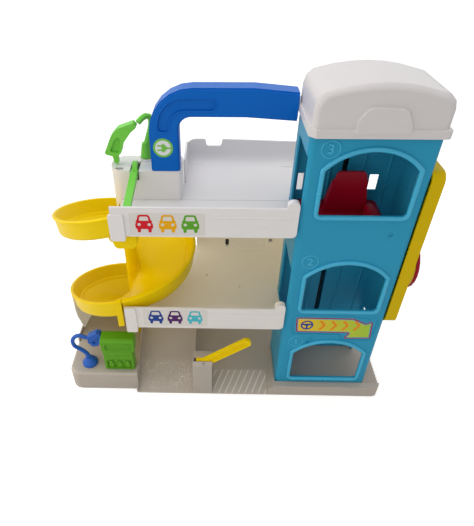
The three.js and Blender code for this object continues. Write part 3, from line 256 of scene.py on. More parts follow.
class Signal:
    """One output socket of a material's nodes."""

    def __init__(self, tree, socket):
        self.tree = tree
        self.socket = socket

    def math(self, operation, a, b):
        return node(self.tree, "ShaderNodeMath", {"operation": operation}, {0: a, 1: b})

    def __add__(self, other):
        return self.math("ADD", self, other)

    def __radd__(self, other):
        return self.math("ADD", other, self)

    def __sub__(self, other):
        return self.math("SUBTRACT", self, other)

    def __rsub__(self, other):
        return self.math("SUBTRACT", other, self)

    def __mul__(self, other):
        return self.math("MULTIPLY", self, other)

    def __rmul__(self, other):
        return self.math("MULTIPLY", other, self)

    def feed(self, shader, name):
        """Links the signal to a shader's socket."""
        self.tree.links.new(self.socket, shader.inputs[name])


def node(tree, kind, settings=None, inputs=None, output=0):
    """A new node of a tree: its settings first, then the values or links of its sockets."""
    made = tree.nodes.new(kind)
    for key, value in (settings or {}).items():
        if key == "stops":
            for stop, (position, colour) in zip(made.color_ramp.elements, value):
                stop.position = position
                stop.color = colour
        else:
            setattr(made, key, value)
    for key, value in (inputs or {}).items():
        if isinstance(value, Signal):
            tree.links.new(value.socket, made.inputs[key])
        else:
            made.inputs[key].default_value = value
    return Signal(tree, made.outputs[output])


print("a signal adds, subtracts and multiplies")

# %% [markdown]
# ## The few nodes that every finish uses
#
# A mould's clouds and grain are noise on the object's own coordinates, so that they stay put when a part
# moves. Two colours are mixed by a factor, and a factor often runs from 0 to 1 between two places.

# %% Noise, mixes and places


def new_finish(name):
    """A new material with its tree, its shader and the place on the object."""
    material = bpy.data.materials.new(name)
    material.use_nodes = True
    tree = material.node_tree
    place = node(tree, "ShaderNodeTexCoord", output="Object")
    return material, tree, tree.nodes["Principled BSDF"], place


def noise(place, scale, detail, distortion=0):
    """Soft noise, 0 to 1, with its repeats per metre and its number of finer layers."""
    sockets = {"Vector": place, "Scale": scale, "Detail": detail, "Distortion": distortion}
    return node(place.tree, "ShaderNodeTexNoise", {}, sockets, "Fac")


def mixed(factor, first, second, blend="MIX"):
    """The first colour where the factor is 0 and the second where it is 1."""
    settings = {"data_type": "RGBA", "blend_type": blend}
    return node(factor.tree, "ShaderNodeMix", settings, {"Factor": factor, 6: first, 7: second}, 2)


def rising(value, start, end):
    """A factor that goes from 0 to 1 as a value goes from start to end."""
    return node(value.tree, "ShaderNodeMapRange", {}, {"Value": value, "From Min": start, "From Max": end})


def along(place, axis):
    """One coordinate of a place."""
    return node(place.tree, "ShaderNodeSeparateXYZ", {}, {0: place}, axis)


def within(value, start, end):
    """A factor that is 1 where a value lies between two others."""
    over = node(value.tree, "ShaderNodeMath", {"operation": "GREATER_THAN"}, {0: value, 1: start})
    under = node(value.tree, "ShaderNodeMath", {"operation": "LESS_THAN"}, {0: value, 1: end})
    return over * under


print("every finish starts from noise, mixes and places")

# %% [markdown]
# ## Colours
#
# Colours are noted as a picture shows them, 0 to 255, and turned into the linear light that shaders work
# in.

# %% Colour helpers


def linear(red, green, blue):
    """A screen colour, 0 to 255, as linear light with full opacity."""
    parts = []
    for value in (red, green, blue):
        share = value / 255
        parts.append(share / 12.92 if share <= 0.04045 else ((share + 0.055) / 1.055) ** 2.4)
    return (*parts, 1)


def toned(colour, share):
    """The colour made lighter, above 1, or darker, below 1."""
    return (*(min(1, part * share) for part in colour[:3]), 1)


def grey(level):
    """A neutral colour of a level of light, 0 to 1."""
    return (level, level, level, 1)


print("taupe in linear light:", [round(part, 3) for part in linear(186, 176, 165)])

# %% [markdown]
# ## Moulded plastic
#
# Injection-moulded polypropylene and ABS are not one flat colour. The pigment clouds a little over a few
# centimetres, the mould leaves a fine texture that blurs the highlights, and play leaves hair-thin scuffs.
# The recipe takes the colour and how glossy and how grained the mould was. Where a moulding needs painted
# light, it also takes a function that paints it into the colour there, or one that gives a painted glow.

# %% The plastic recipe
CLOUDS, SCUFFS, GRAIN = 22, 85, 900  # repeats per metre
SCUFF_DULLING = 0.075  # roughness that a scuff adds
GRAIN_HEIGHT = 0.0002  # metres
PLASTIC_IOR = 1.49


def plastic(name, colour, gloss=0.35, grain=0.04, clouding=0.05, shine=0.15, painted_light=None, painted_glow=None):
    """A moulded plastic: clouded pigment, fine grain, worn gloss, and painted light or a painted glow where
    given.
    """
    material, tree, shader, place = new_finish(name)
    cloud = noise(place, CLOUDS, 3)
    speck = noise(place, GRAIN, 2)
    stops = {"stops": ((0.52, grey(0)), (0.72, grey(1)))}
    worn = node(tree, "ShaderNodeValToRGB", stops, {"Fac": noise(place, SCUFFS, 6, 1.5)})
    tint = mixed(cloud * 0.8 + speck * 0.2, toned(colour, 1 - clouding), toned(colour, 1 + clouding))
    # painted light mixed into the colour: a painted highlight or a painted bounce from the ramp
    if painted_light:
        tint = painted_light(place, tint)
    # a painted glow, as of light through a thin wall
    if painted_glow:
        painted_glow(place).feed(shader, "Emission Color")
        shader.inputs["Emission Strength"].default_value = 1
    tint.feed(shader, "Base Color")
    (gloss + worn * SCUFF_DULLING + speck * 0.06).feed(shader, "Roughness")
    relief = {"Strength": grain * 4, "Distance": GRAIN_HEIGHT, "Height": speck + worn * -0.3}
    node(tree, "ShaderNodeBump", {}, relief).feed(shader, "Normal")
    shader.inputs["IOR"].default_value = PLASTIC_IOR
    shader.inputs["Specular IOR Level"].default_value = shine
    return material


print("a plastic's grain repeats every", round(1000 / GRAIN, 1), "mm")

# %% [markdown]
# ## A painted cream bounce and a painted glow through thin walls
#
# The ivory middle deck and back wall are thin, and daylight comes through them. Real translucency is slow
# to render, so a faint painted glow stands in for it. It starts behind the rails, where both also get a
# painted cream tint that stands in for light bounced off the yellow ramp beside them.

# %% What lies behind the rails
# painted light: a cream tint for bounce from the ramp, and glows for light through thin walls
RAMP_BOUNCE_CREAM = (1, 0.97, 0.86, 1)
WALL_PAINTED_GLOW = (0.16, 0.155, 0.14, 1)
DECK_PAINTED_GLOW = (0.07, 0.068, 0.05, 1)


def behind_rails(place):
    """A factor that is 0 on the rails' front and 1 just behind their back."""
    return rising(along(place, "Y"), at(0, -0.6, 0).y, at(0, 0.6, 0).y)


def with_painted_ramp_bounce(place, tint):
    """The colour with a painted cream tint behind the rails, standing in for light bounced off the yellow
    ramp.
    """
    return mixed(behind_rails(place), tint, RAMP_BOUNCE_CREAM, "MULTIPLY")


def through(glow):
    """A function that gives a painted glow behind the rails, as of light through a thin wall."""
    return lambda place: mixed(behind_rails(place), grey(0), glow)


print("cream from y", round(at(0, -0.6, 0).y, 4), "m")

# %% [markdown]
# ## Painted highlights on the grip ribs and the lane
#
# The slanted grip ribs of the entry ramp catch a highlight on top, and the grained foot of the exit lane
# glints. Gloss alone could show both, but a soft lamp hides it from afar, so a paler taupe is mixed in
# where the ribs and the glints are, as a painted highlight.

# %% Painted highlights on rib tops and glints
RIB_START = at(-102, -8, 0)  # front left corner of the first rib
RIB_LEAN = 0.4828  # millimetres to the right for each millimetre back
RIB_PITCH, RIB_WIDTH = 9 * MM, 1.8 * MM
RIBS_LOW, RIBS_HIGH = at(-100, -8.5, 0), at(-27, 21.5, 0)
LANE_LOW, LANE_HIGH = at(-202, -9, 0), at(-128, 34, 30)
LANE_FADE = 6 * MM
GLINTS, GLINT_PATCHES = 700, 55  # repeats per metre
HIGHLIGHT_SHARE = 0.6  # share of the painted highlight colour
HIGHLIGHT_TAUPE = linear(238, 234, 228)


def rib_top_highlights(place):
    """A factor that is 1 on the slanted ribs of the entry ramp, where a highlight is painted."""
    x, y = along(place, "X"), along(place, "Y")
    across = (x - RIB_START.x) - (y - RIB_START.y) * RIB_LEAN
    wrapped = node(place.tree, "ShaderNodeMath", {"operation": "WRAP"}, {0: across, 1: RIB_PITCH, 2: 0.0})
    top = node(place.tree, "ShaderNodeMath", {"operation": "LESS_THAN"}, {0: wrapped, 1: RIB_WIDTH})
    return top * within(x, RIBS_LOW.x, RIBS_HIGH.x) * within(y, RIBS_LOW.y, RIBS_HIGH.y)


def lane_glints(place):
    """A factor that is 1 on fine painted glints in patches, fading out round the foot of the exit lane."""
    share = rising(noise(place, GLINTS, 1) + noise(place, GLINT_PATCHES, 2) * 0.5, 0.8, 0.9)
    for axis, start, end in zip("XYZ", LANE_LOW, LANE_HIGH):
        value = along(place, axis)
        share = share * rising(value, start, start + LANE_FADE) * rising(value, end, end - LANE_FADE)
    return share


def with_painted_highlights(place, tint):
    """The colour with painted highlights on the rib tops and painted glints on the lane."""
    return mixed(lane_glints(place) * HIGHLIGHT_SHARE + rib_top_highlights(place) * HIGHLIGHT_SHARE, tint, HIGHLIGHT_TAUPE)


print("glints over", round((LANE_HIGH.x - LANE_LOW.x) / MM), "mm of lane")

# %% [markdown]
# ## The plastics of this garage
#
# Each moulding has one pigment. The roof and the yellow housing get a darker mix of the deck's and the
# ramp's colours, as painted shade, and the tower's beads, rings and numbers get a paler mix of the tower's
# blue, as a painted highlight.

# %% Colours and plastics
TAUPE = linear(186, 176, 165)
IVORY = linear(233, 228, 224)
WHITE = linear(233, 230, 230)
# painted shade: the roof's white is a darker copy of the deck's
ROOF_SHADED_WHITE = linear(216, 212, 212)
YELLOW = linear(246, 212, 0)
# painted shade: the housing's yellow is a darker copy of the ramp's
HOUSING_SHADED_YELLOW = linear(214, 182, 0)
TOWER_BLUE = linear(42, 153, 191)
# painted highlight: a lighter copy of the tower's blue for its beads, rings and numbers
EDGE_BLUE_HIGHLIT = linear(58, 176, 214)
HANDLE_BLUE = linear(0, 102, 198)
HOSE_BLUE = linear(38, 96, 190)
GREEN = linear(96, 165, 30)
LIGHT_GREEN = linear(120, 210, 78)
RED = linear(152, 6, 32)
BLACK = linear(48, 48, 50)

finish = {
    # the taupe base gets painted highlights; the wall and the middle deck get a painted cream bounce and a
    # painted glow
    "taupe": plastic("taupe_base", TAUPE, gloss=0.4, grain=0.07, clouding=0.06, shine=0.4, painted_light=with_painted_highlights),
    "wall": plastic("ivory_wall", IVORY, clouding=0.03, shine=0.35, painted_light=with_painted_ramp_bounce, painted_glow=through(WALL_PAINTED_GLOW)),
    "ivory": plastic("ivory_deck", IVORY, clouding=0.03, shine=0.35, painted_light=with_painted_ramp_bounce, painted_glow=through(DECK_PAINTED_GLOW)),
    "white": plastic("white_deck", WHITE, gloss=0.32, clouding=0.025, shine=0.35),
    "yellow": plastic("yellow_ramp", YELLOW, gloss=0.26, clouding=0.04, shine=0.1),
    "tower_edge": plastic("tower_edge_painted_highlight", EDGE_BLUE_HIGHLIT, gloss=0.2, grain=0.02, clouding=0.04, shine=0.5),
    "roof": plastic("white_roof_painted_shade", ROOF_SHADED_WHITE, gloss=0.32, clouding=0.025, shine=0.35),
    "housing": plastic("yellow_housing_painted_shade", HOUSING_SHADED_YELLOW, gloss=0.26, clouding=0.04, shine=0.1),
    "tower": plastic("tower_blue", TOWER_BLUE, gloss=0.34, grain=0.06, clouding=0.04, shine=0.2),
    "handle": plastic("handle_blue", HANDLE_BLUE, gloss=0.28, shine=0.15),
    "hose": plastic("hose_blue", HOSE_BLUE, gloss=0.25, shine=0.25),
    "green": plastic("pump_green", GREEN, gloss=0.28, shine=0.2),
    "light_green": plastic("gate_green", LIGHT_GREEN, gloss=0.3, shine=0.2),
    "red": plastic("lift_red", RED, gloss=0.3, shine=0.2),
    "black": plastic("gear_black", BLACK, gloss=0.45, shine=0.4),
}
print("plastics:", ", ".join(finish))

# %% [markdown]
# ## Steel and cord
#
# The hidden pins are drawn wire, a little uneven in its gloss, and the lift hangs on a braided cord, whose
# weave is a pattern of small cells.

# %% Steel and cord


def drawn_steel():
    material, _, shader, place = new_finish("drawn_steel")
    shader.inputs["Metallic"].default_value = 1
    shader.inputs["Base Color"].default_value = linear(190, 192, 196)
    (noise(place, 400, 4) * 0.25 + 0.2).feed(shader, "Roughness")
    return material


def braided_cord():
    material, tree, shader, place = new_finish("braided_cord")
    weave = node(tree, "ShaderNodeTexVoronoi", {}, {"Vector": place, "Scale": 1400}, "Distance")
    mixed(weave, linear(38, 38, 40), linear(70, 70, 72)).feed(shader, "Base Color")
    shader.inputs["Roughness"].default_value = 0.85
    relief = {"Strength": 0.5, "Distance": GRAIN_HEIGHT, "Height": weave}
    node(tree, "ShaderNodeBump", {}, relief).feed(shader, "Normal")
    return material


finish["steel"] = drawn_steel()
finish["cord"] = braided_cord()
print("added steel and cord")

# %% [markdown]
# ## Printed inks
#
# Labels are thin printed film. Ink lies a little unevenly on it and is glossier than the plastic, so each
# ink gets a fine mottle in its colour and its gloss. The arrow's ink runs from amber to green along its
# length, which a factor on the X coordinate gives.

# %% Inks


def ink(name, colour, other=None, start=0.0, end=1.0):
    """A printed film's ink in one colour, or running along X from one colour to another."""
    material, _, shader, place = new_finish(name)
    mottle = noise(place, 700, 2)
    base = mixed(rising(along(place, "X"), start, end), colour, other) if other else colour
    mixed(mottle * 0.12, base, (0.75, 0.75, 0.75, 1), "MULTIPLY").feed(shader, "Base Color")
    (mottle * 0.12 + 0.24).feed(shader, "Roughness")
    shader.inputs["Specular IOR Level"].default_value = 0.2
    return material


INKS = {
    "red_ink": linear(214, 22, 38),
    "amber_ink": linear(236, 172, 0),
    "green_ink": linear(92, 168, 40),
    "navy_ink": linear(30, 66, 150),
    "purple_ink": linear(84, 32, 104),
    "teal_ink": linear(76, 190, 206),
    "border_ink": linear(168, 40, 66),
    "sky_ink": linear(70, 176, 216),
    "orange_ink": linear(238, 140, 20),
    "badge_green": linear(126, 200, 84),
    "badge_white": linear(232, 234, 238),
}
ARROW_AMBER, ARROW_GREEN = linear(240, 196, 40), linear(170, 205, 60)
ARROW_LEFT, ARROW_RIGHT = at(4, 0, 0).x, at(86, 0, 0).x
finish["film"] = ink("label_film", linear(224, 220, 214))
finish["arrow_ink"] = ink("arrow_ink", ARROW_AMBER, ARROW_GREEN, ARROW_LEFT, ARROW_RIGHT)
for name, colour in INKS.items():
    finish[name] = ink(name, colour)
print("inks ready:", len(INKS) + 2)

# %% [markdown]
# ## Dress the loaded mouldings
#
# A mould can't make a knife edge, and the eye notices at once when a model has one. The edges could be
# rolled in edit mode, but modifiers leave the loaded mesh as it is: Weld closes the loose triangles,
# Decimate joins flat triangles into whole faces, Bevel rolls every sharp edge, and Weighted Normal keeps
# the flats flat. Each moulding has a radius of its own, and the two halves of the ramp are made anew below.

# %% Round the edges and paint each node
DRESS = {
    "base": ("taupe", 1.5),
    "back_wall": ("wall", 0.6),
    "deck_2": ("ivory", 0.9),
    "deck_3": ("white", 0.9),
    "charging_cabinet": ("white", 1.2),
    "carry_handle": ("handle", 1.6),
    "tower_front": ("tower", 1.0),
    "tower_rear": ("tower", 0.7),
    "rear_cover": ("tower", 0.8),
    "roof_cap": ("roof", 1.6),
    "side_housing": ("housing", 1.2),
    "lift_dial": ("red", 0.8),
    "dial_shaft": ("black", 0.3),
    "dial_gear": ("black", 0.2),
    "shaft_pinion": ("black", 0.2),
    "cross_shaft": ("steel", 0.3),
    "winding_drum": ("black", 0.3),
    "haul_cord": ("cord", 0),
    "top_pulley": ("black", 0.3),
    "bottom_pulley": ("black", 0.3),
    "top_pulley_pin": ("steel", 0.3),
    "bottom_pulley_pin": ("steel", 0.3),
    "lift_carriage": ("red", 0.8),
    "carriage_shoe": ("black", 0.4),
    "ground_gate": ("yellow", 0.8),
    "ground_gate_pin": ("steel", 0.3),
    "upper_gate": ("light_green", 0.8),
    "upper_gate_pin": ("steel", 0.3),
    "pump_body": ("green", 0.6),
    "pump_head": ("green", 1.2),
    "pump_hose": ("hose", 0.4),
    "pump_nozzle": ("hose", 0.8),
    "cabinet_hose": ("light_green", 0.4),
    "cabinet_nozzle": ("light_green", 0.8),
}
WELD = 0.02 * MM
FLAT = math.radians(0.5)
SHARP = math.radians(32)


def dress(name, finish_name, radius):
    """Gives a node its finish and rolls its sharp edges over by a radius in millimetres."""
    body = nodes[name]
    body.data.materials.clear()
    body.data.materials.append(finish[finish_name])
    pick(body)
    bpy.ops.mesh.customdata_custom_splitnormals_clear()
    bpy.ops.object.shade_smooth()
    weld = body.modifiers.new("Weld", "WELD")
    weld.merge_threshold = WELD
    if radius:
        flat = body.modifiers.new("Whole faces", "DECIMATE")
        flat.decimate_type = "DISSOLVE"
        flat.angle_limit = FLAT
        roll = body.modifiers.new("Rolled edges", "BEVEL")
        roll.width = radius * MM
        roll.segments = 2
        roll.limit_method = "ANGLE"
        roll.angle_limit = SHARP
        roll.harden_normals = True
    even = body.modifiers.new("Even normals", "WEIGHTED_NORMAL")
    even.keep_sharp = True


for name, (finish_name, radius) in DRESS.items():
    dress(name, finish_name, radius)
print("dressed", len(DRESS), "of", len(nodes), "nodes")

# %% [markdown]
# ## The two ramp mouldings
#
# The ramp is a bowl-shaped trough that winds round a hub and sinks as it goes. The engineering model turns
# it in coarse steps. A Screw modifier could wind it finely, but it can't change the section on the way.
# Here the section is drawn once as a closed face, spun round the hub with the Spin tool in fine steps, and
# then every point is moved to the radius and the height that the ramp has at its angle. A point's place in
# the section is kept as a number in its Z coordinate while it is spun, so it can be told apart afterwards.

# %% The ramp's heights and its section
HUB = (-209.2, 81)
HUB_RADIUS = 8
RAMP_END = 630  # degrees travelled from the top deck
TOP_DECK = 264.5
RIM_TOP, RIM_FALL = 271.2, 115.6  # the rim's mean height at the start, and its fall in one turn
RIM_SWAY, SWAY_TURN = 10.3, 22  # it falls faster down the outer side than along the decks
BOWL_INNER, BOWL_OUTER = 9.5, 70  # radii of the bowl's floor
BOWL_BELOW_RIM, BOWL_DEPTH, BOWL_CURVE = 19, 18, 1.6
ENTRY_RADIUS = 21  # outside it the floor starts level with the top deck
LEVEL_FROM, LEVEL_BELOW_RIM = 540, 22  # where the floor starts to flatten out, and where it ends
WALL, LIP = 82.8, 84.6  # radii of the outer wall and of its rolled lip
PINCH_FROM, PINCH_OVER, PINCH_DEPTH = 315, 30, 2.4  # the wall draws in over these degrees
FLOOR_THICKNESS = 2.3


def rim_height(angle):
    """Height of the ramp's rim after an angle travelled from the top deck, in degrees."""
    return RIM_TOP - RIM_FALL * angle / 360 + RIM_SWAY * math.cos(math.radians(angle + SWAY_TURN))


def wall_radius(angle):
    """Radius of the trough's outer wall, which draws in behind the middle deck's rail."""
    if angle >= 360:
        return WALL
    share = min(1, max(0, (angle - PINCH_FROM) / PINCH_OVER))
    return WALL - PINCH_DEPTH * share * share * (3 - 2 * share)


def floor_height(angle, radius):
    """Height of the trough's floor: a bowl that leaves the top deck level and flattens out at its end."""
    share = max(0, (radius - BOWL_INNER) / (BOWL_OUTER - BOWL_INNER))
    bowl = rim_height(angle) - BOWL_BELOW_RIM - BOWL_DEPTH * (1 - share**BOWL_CURVE)
    if radius > ENTRY_RADIUS:
        # the entry falls 1.1 mm in a degree, and the higher of the two floors counts, with a soft join
        entry = TOP_DECK - 0.7 - 1.1 * angle - (radius - 50) ** 2 / 2000
        bowl = (bowl + entry + math.sqrt((bowl - entry) ** 2 + 4)) / 2
    level = min(1, max(0, (angle - LEVEL_FROM) / (RAMP_END - LEVEL_FROM)))
    return bowl + level * (rim_height(angle) - LEVEL_BELOW_RIM - bowl)


def trough_section(angle):
    """The trough's section as (radius, height) points: kerb, floor, step, wall, rolled lip, underside."""
    rim = rim_height(angle)
    wall = wall_radius(angle)
    kerb = min(floor_height(angle, BOWL_INNER) + 7, 246)
    top = [(7, kerb), (9.6, kerb - 0.6), (10.4, min(floor_height(angle, 10) + 2, kerb - 1))]
    radii = [14, 18, 20.5, 22.5, *range(26, BOWL_OUTER, 4), BOWL_OUTER]
    top += [(r, floor_height(angle, r)) for r in radii]
    edge = floor_height(angle, BOWL_OUTER)
    lip = [
        (71.2, max(rim - 17.2, edge), 0),
        (74, max(rim - 16.6, edge + 0.6), 1.2),
        (wall - 2, rim, 0.9),
        (LIP, rim, 0.9),
        (LIP, rim - 2.4, 0.6),
        (wall, rim - 2.9, 0.6),
        (wall - 2, rim - 28, 7),
        (56, rim - 28.5, 0),
    ]
    under = [(r, floor_height(angle, r) - FLOOR_THICKNESS) for r in (42, 30, 25, 20.9, 14, 7)]
    return top + rounded(lip, 3) + under


print("section of", len(trough_section(90)), "points; rim at", round(rim_height(0), 1), "mm")

# %% Spin a section round the hub


def sweep(name, section, start, end, step=3):
    """A closed solid swept round the hub from one travelled angle to another."""
    first = section(start)
    hub = at(*HUB, 0)
    deselect()
    bpy.ops.mesh.primitive_circle_add(vertices=len(first), fill_type="NGON")
    piece = bpy.context.object
    turn = math.radians(start)
    for k, (vertex, (radius, _)) in enumerate(zip(piece.data.vertices, first)):
        vertex.co = hub + Vector((-radius * math.sin(turn), -radius * math.cos(turn), k)) * MM
    bpy.ops.object.mode_set(mode="EDIT")
    bpy.ops.mesh.select_all(action="SELECT")
    steps = math.ceil((end - start) / step)
    bpy.ops.mesh.spin(steps=steps, angle=math.radians(end - start), center=hub, axis=(0, 0, 1))
    bpy.ops.object.mode_set(mode="OBJECT")
    for vertex in piece.data.vertices:
        across = vertex.co - hub
        travelled = math.degrees(math.atan2(-across.x, -across.y)) % 360
        while travelled < start - 0.1:
            travelled += 360
        radius, height = section(travelled)[round(vertex.co.z / MM)]
        turn = math.radians(travelled)
        vertex.co = at(HUB[0] - radius * math.sin(turn), HUB[1] - radius * math.cos(turn), height)
    mend(piece)
    return named(name)


def hub_post(name, bottom, top):
    """A stretch of the ramp's round hub with rolled ends."""
    deselect()
    middle = (bottom + top) / 2
    bpy.ops.mesh.primitive_cylinder_add(
        vertices=48, radius=HUB_RADIUS * MM, depth=(top - bottom) * MM, location=at(*HUB, middle)
    )
    post = named(name)
    return finish_with(post, "BEVEL", width=0.8 * MM, segments=3, limit_method="ANGLE")


def one_moulding(name, *parts):
    """Joins parts into one piece with a name and smooths it."""
    pick(*parts)
    bpy.ops.object.join()
    return smooth(named(name), 30)


# %% [markdown]
# ## The upper moulding's tongue
#
# A thick tongue lies under the left end of the top deck, where the ramp starts. It has an outline of its
# own, so it is drawn from the front as a plate, rolled at its edges and joined to the trough.

# %% The upper moulding
UPPER_ENDS = (0.3, 359.7)  # degrees travelled, clear of the deck and of the seam
TONGUE = [
    (-184, 261.2, 0.8),
    (-206.3, 261.2, 0.8),
    (-213.8, 251.4, 1.5),
    (-212, 246.2, 3),
    (-209.8, 245.7, 0.3),
    (-208.2, 240.2, 3),
    (-205.6, 237.4, 2),
    (-187.5, 237.4, 4),
    (-184, 242.7, 0.5),
]
tongue = finish_with(plate("tongue", [rounded(TONGUE)], 4, 54), "BEVEL", width=1.2 * MM, segments=3)
ramp_upper = one_moulding(
    "ramp_upper",
    sweep("upper_trough", trough_section, *UPPER_ENDS),
    hub_post("upper_hub", 137, 239.5),
    tongue,
)
place_on(ramp_upper, "yellow")
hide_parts("spiral_upper")
print(ramp_upper.name, len(ramp_upper.data.polygons), "faces")

# %% [markdown]
# ## The lower moulding and its collar
#
# The lower moulding starts with a collar, a raised band at the seam. It could be a ring of its own, but on
# the toy it is part of the moulding, so its section is swept over a few degrees and joined to the trough.

# %% The lower moulding
LOWER_ENDS = (360.2, RAMP_END)
COLLAR_ENDS = (360.2, 365)


def collar_section(angle):
    """The collar's section as (radius, height) points: it wraps the lip and the wall."""
    rim = rim_height(angle)
    collar = [
        (79, rim - 15, 0),
        (79, rim + 0.8, 0.4),
        (85.6, rim + 0.8, 1),
        (85.6, rim - 3, 0.8),
        (84.2, rim - 4, 1),
        (83.6, rim - 41, 1),
        (80.4, rim - 41, 1),
        (79.8, rim - 31, 0.6),
        (70, rim - 29.8, 0.4),
        (70, rim - 22, 0),
    ]
    return rounded(collar, 3)


ramp_lower = one_moulding(
    "ramp_lower",
    sweep("lower_trough", trough_section, *LOWER_ENDS),
    hub_post("lower_hub", 31.8, 136.7),
    sweep("ramp_collar", collar_section, *COLLAR_ENDS, 1),
)
place_on(ramp_lower, "yellow")
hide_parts("spiral_lower")
print(ramp_lower.name, len(ramp_lower.data.polygons), "faces")

# %% [markdown]
# ## Beads and numbers moulded into the tower
#
# A rounded bead frames each window, and it catches the light as a bright line. Three raised rings frame the
# floor numbers, which are text, thickened and turned into a mesh. All of them are the tower's own plastic,
# but the mould was polished there, so they are glossier, and a shade lighter colour is painted on them as a
# highlight. A small wedge beside the lowest number is as dull as the tower.

# %% Window beads
WINDOW_SILLS = (28, 153, 284)
WINDOW_LEFT, WINDOW_RIGHT = 1.6, 90.4
WINDOW_SHOULDER, WINDOW_APEX = 51, 70.6  # heights above the sill
WINDOW_CORNER, WINDOW_ARCH_CORNER = 4, 2.5
ARCH_STEPS = 24
BEAD_MARGIN, BEAD_RADIUS = 1.7, 2.5


def window_points(bottom, margin):
    """The window's outline grown by a margin: straight sides, round corners and a flat arch."""
    left, right = WINDOW_LEFT - margin, WINDOW_RIGHT + margin
    half = (right - left) / 2
    rise = WINDOW_APEX - WINDOW_SHOULDER + margin
    radius = (half * half + rise * rise) / (2 * rise)
    spread = math.asin(half / radius)
    corner = WINDOW_CORNER + margin
    corners = [(left, bottom - margin, corner), (right, bottom - margin, corner)]
    for k in range(ARCH_STEPS + 1):
        turn = spread - 2 * spread * k / ARCH_STEPS
        x = left + half + radius * math.sin(turn)
        z = bottom + WINDOW_SHOULDER + rise - radius * (1 - math.cos(turn))
        corners.append((x, z, WINDOW_ARCH_CORNER if k in (0, ARCH_STEPS) else 0))
    return rounded(corners, 6)


for level, sill in enumerate(WINDOW_SILLS, 1):
    line = [(x, -0.5, z) for x, z in window_points(sill, BEAD_MARGIN)]
    place_on(bead(f"window_bead_{level}", line, BEAD_RADIUS), "tower_edge")
print("window beads:", len(WINDOW_SILLS))

# %% Raised floor numbers in rings
NUMBERS = {"3": (4.1, 355.5), "2": (3.4, 225.3), "1": (3.0, 98.4)}
NUMBER_SIZE = 13
RING_RADIUS = 8.6


def raised_number(figure, x, z):
    """A floor number with rolled edges, a little less than a millimetre proud of the tower's front."""
    deselect()
    bpy.ops.object.text_add()
    text = bpy.context.object
    text.data.body = figure
    text.data.size = NUMBER_SIZE * MM
    text.data.align_x = "CENTER"
    text.data.align_y = "CENTER"
    text.data.extrude = 0.5 * MM
    text.data.bevel_depth = 0.2 * MM
    text.data.offset = 0.15 * MM
    bpy.ops.object.convert(target="MESH")
    number = bpy.context.object
    mend(number)
    number.rotation_euler = (math.pi / 2, 0, 0)
    number.location = at(x, -0.1, z)
    return named(f"number_{figure}")


for figure, (x, z) in NUMBERS.items():
    place_on(raised_number(figure, x, z), "tower_edge")
    ring = [(u, 0, v) for u, v in ring_outline(x, z, RING_RADIUS)]
    place_on(bead(f"number_ring_{figure}", ring, 0.65), "tower_edge")
WEDGE = [(17.2, 0, 101.6), (23.4, 0, 101.6), (20.2, 0, 107.4)]
place_on(bead("arrow_wedge", WEDGE, 0.55), "tower")
print("numbers raised:", ", ".join(NUMBERS))

# %% [markdown]
# ## Car signs on the rails
#
# The rail of each deck carries a label with three little cars seen from the front. They could be a picture
# on a plane, but thin plates stay sharp from near by. One car is an outline with holes for its window and
# lamps, cut as a hair-thin plate in its own ink, and a pale film lies behind the three.

# %% One car's outlines
CAR_EDGE = [
    (1.9, 0, 1.5),
    (5.1, 0, 1.5),
    (5.3, 4.2, 0.4),
    (12.8, 4.2, 0.4),
    (13, 0, 1.5),
    (16.2, 0, 1.5),
    (16.4, 4.3, 0.4),
    (18.1, 5.6, 1.2),
    (18.1, 10.6, 1.6),
    (16.6, 12.6, 1),
    (18, 13.6, 0.7),
    (16.3, 14.8, 0.7),
    (14.6, 21.5, 2.6),
    (3.5, 21.5, 2.6),
    (1.8, 14.8, 0.7),
    (0.1, 13.6, 0.7),
    (1.5, 12.6, 1),
    (0, 10.6, 1.6),
    (0, 5.6, 1.2),
    (1.7, 4.3, 0.4),
]
CAR_WINDOW = [(4, 14.3, 0.8), (14.1, 14.3, 0.8), (13.1, 19.4, 1.1), (5, 19.4, 1.1)]
CAR_LAMPS = [(3.9, 9.7), (14.2, 9.7)]
LAMP_RADIUS = 1.75


def car_outlines(left, bottom):
    """A small car from the front, as its edge and its holes, from its left side and its wheels' foot."""
    lamps = [ring_outline(x, z, LAMP_RADIUS, 20) for x, z in CAR_LAMPS]
    outlines = [rounded(CAR_EDGE, 4), rounded(CAR_WINDOW, 4), *lamps]
    return [[(left + x, bottom + z) for x, z in outline] for outline in outlines]


print("a car's edge has", len(car_outlines(0, 0)[0]), "points")

# %% Two rails of cars
RAIL_FRONT = -2.8
FILM_THICKNESS, INK_THICKNESS = 0.2, 0.12
CAR_ROWS = {
    "top": (264, (("red", -181.7), ("amber", -157.6), ("green", -134.5))),
    "middle": (130, (("navy", -179), ("purple", -156), ("teal", -132))),
}
for row, (bottom, cars) in CAR_ROWS.items():
    label = box_outline(cars[0][1] - 6, bottom - 3.5, cars[-1][1] + 24, bottom + 23.5, 2)
    film = plate(f"car_film_{row}", [label], RAIL_FRONT - 0.15, FILM_THICKNESS)
    place_on(film, "film")
    for colour, left in cars:
        car = plate(f"car_sign_{colour}", car_outlines(left, bottom), RAIL_FRONT - 0.25, INK_THICKNESS)
        place_on(car, f"{colour}_ink")
print("cars printed:", sum(len(cars) for _, cars in CAR_ROWS.values()))

# %% [markdown]
# ## The way-out arrow
#
# A printed arrow in the tower's recess points right, to the way out. It is layered like a real label: a
# dark red border, a sky-blue gap, a fill that fades from amber to green, and chevrons with a steering wheel
# on it.

# %% The arrow label
ARROW = [
    (0.7, 115.3, 4),
    (66, 114.5, 1.2),
    (60.5, 104.6, 1.6),
    (93.9, 105.3, 2.4),
    (91.5, 135.6, 2.4),
    (83.7, 131.2, 2),
    (67.5, 139.5, 3),
    (-1.1, 140.3, 4),
]
RECESS_FLOOR = 0.5
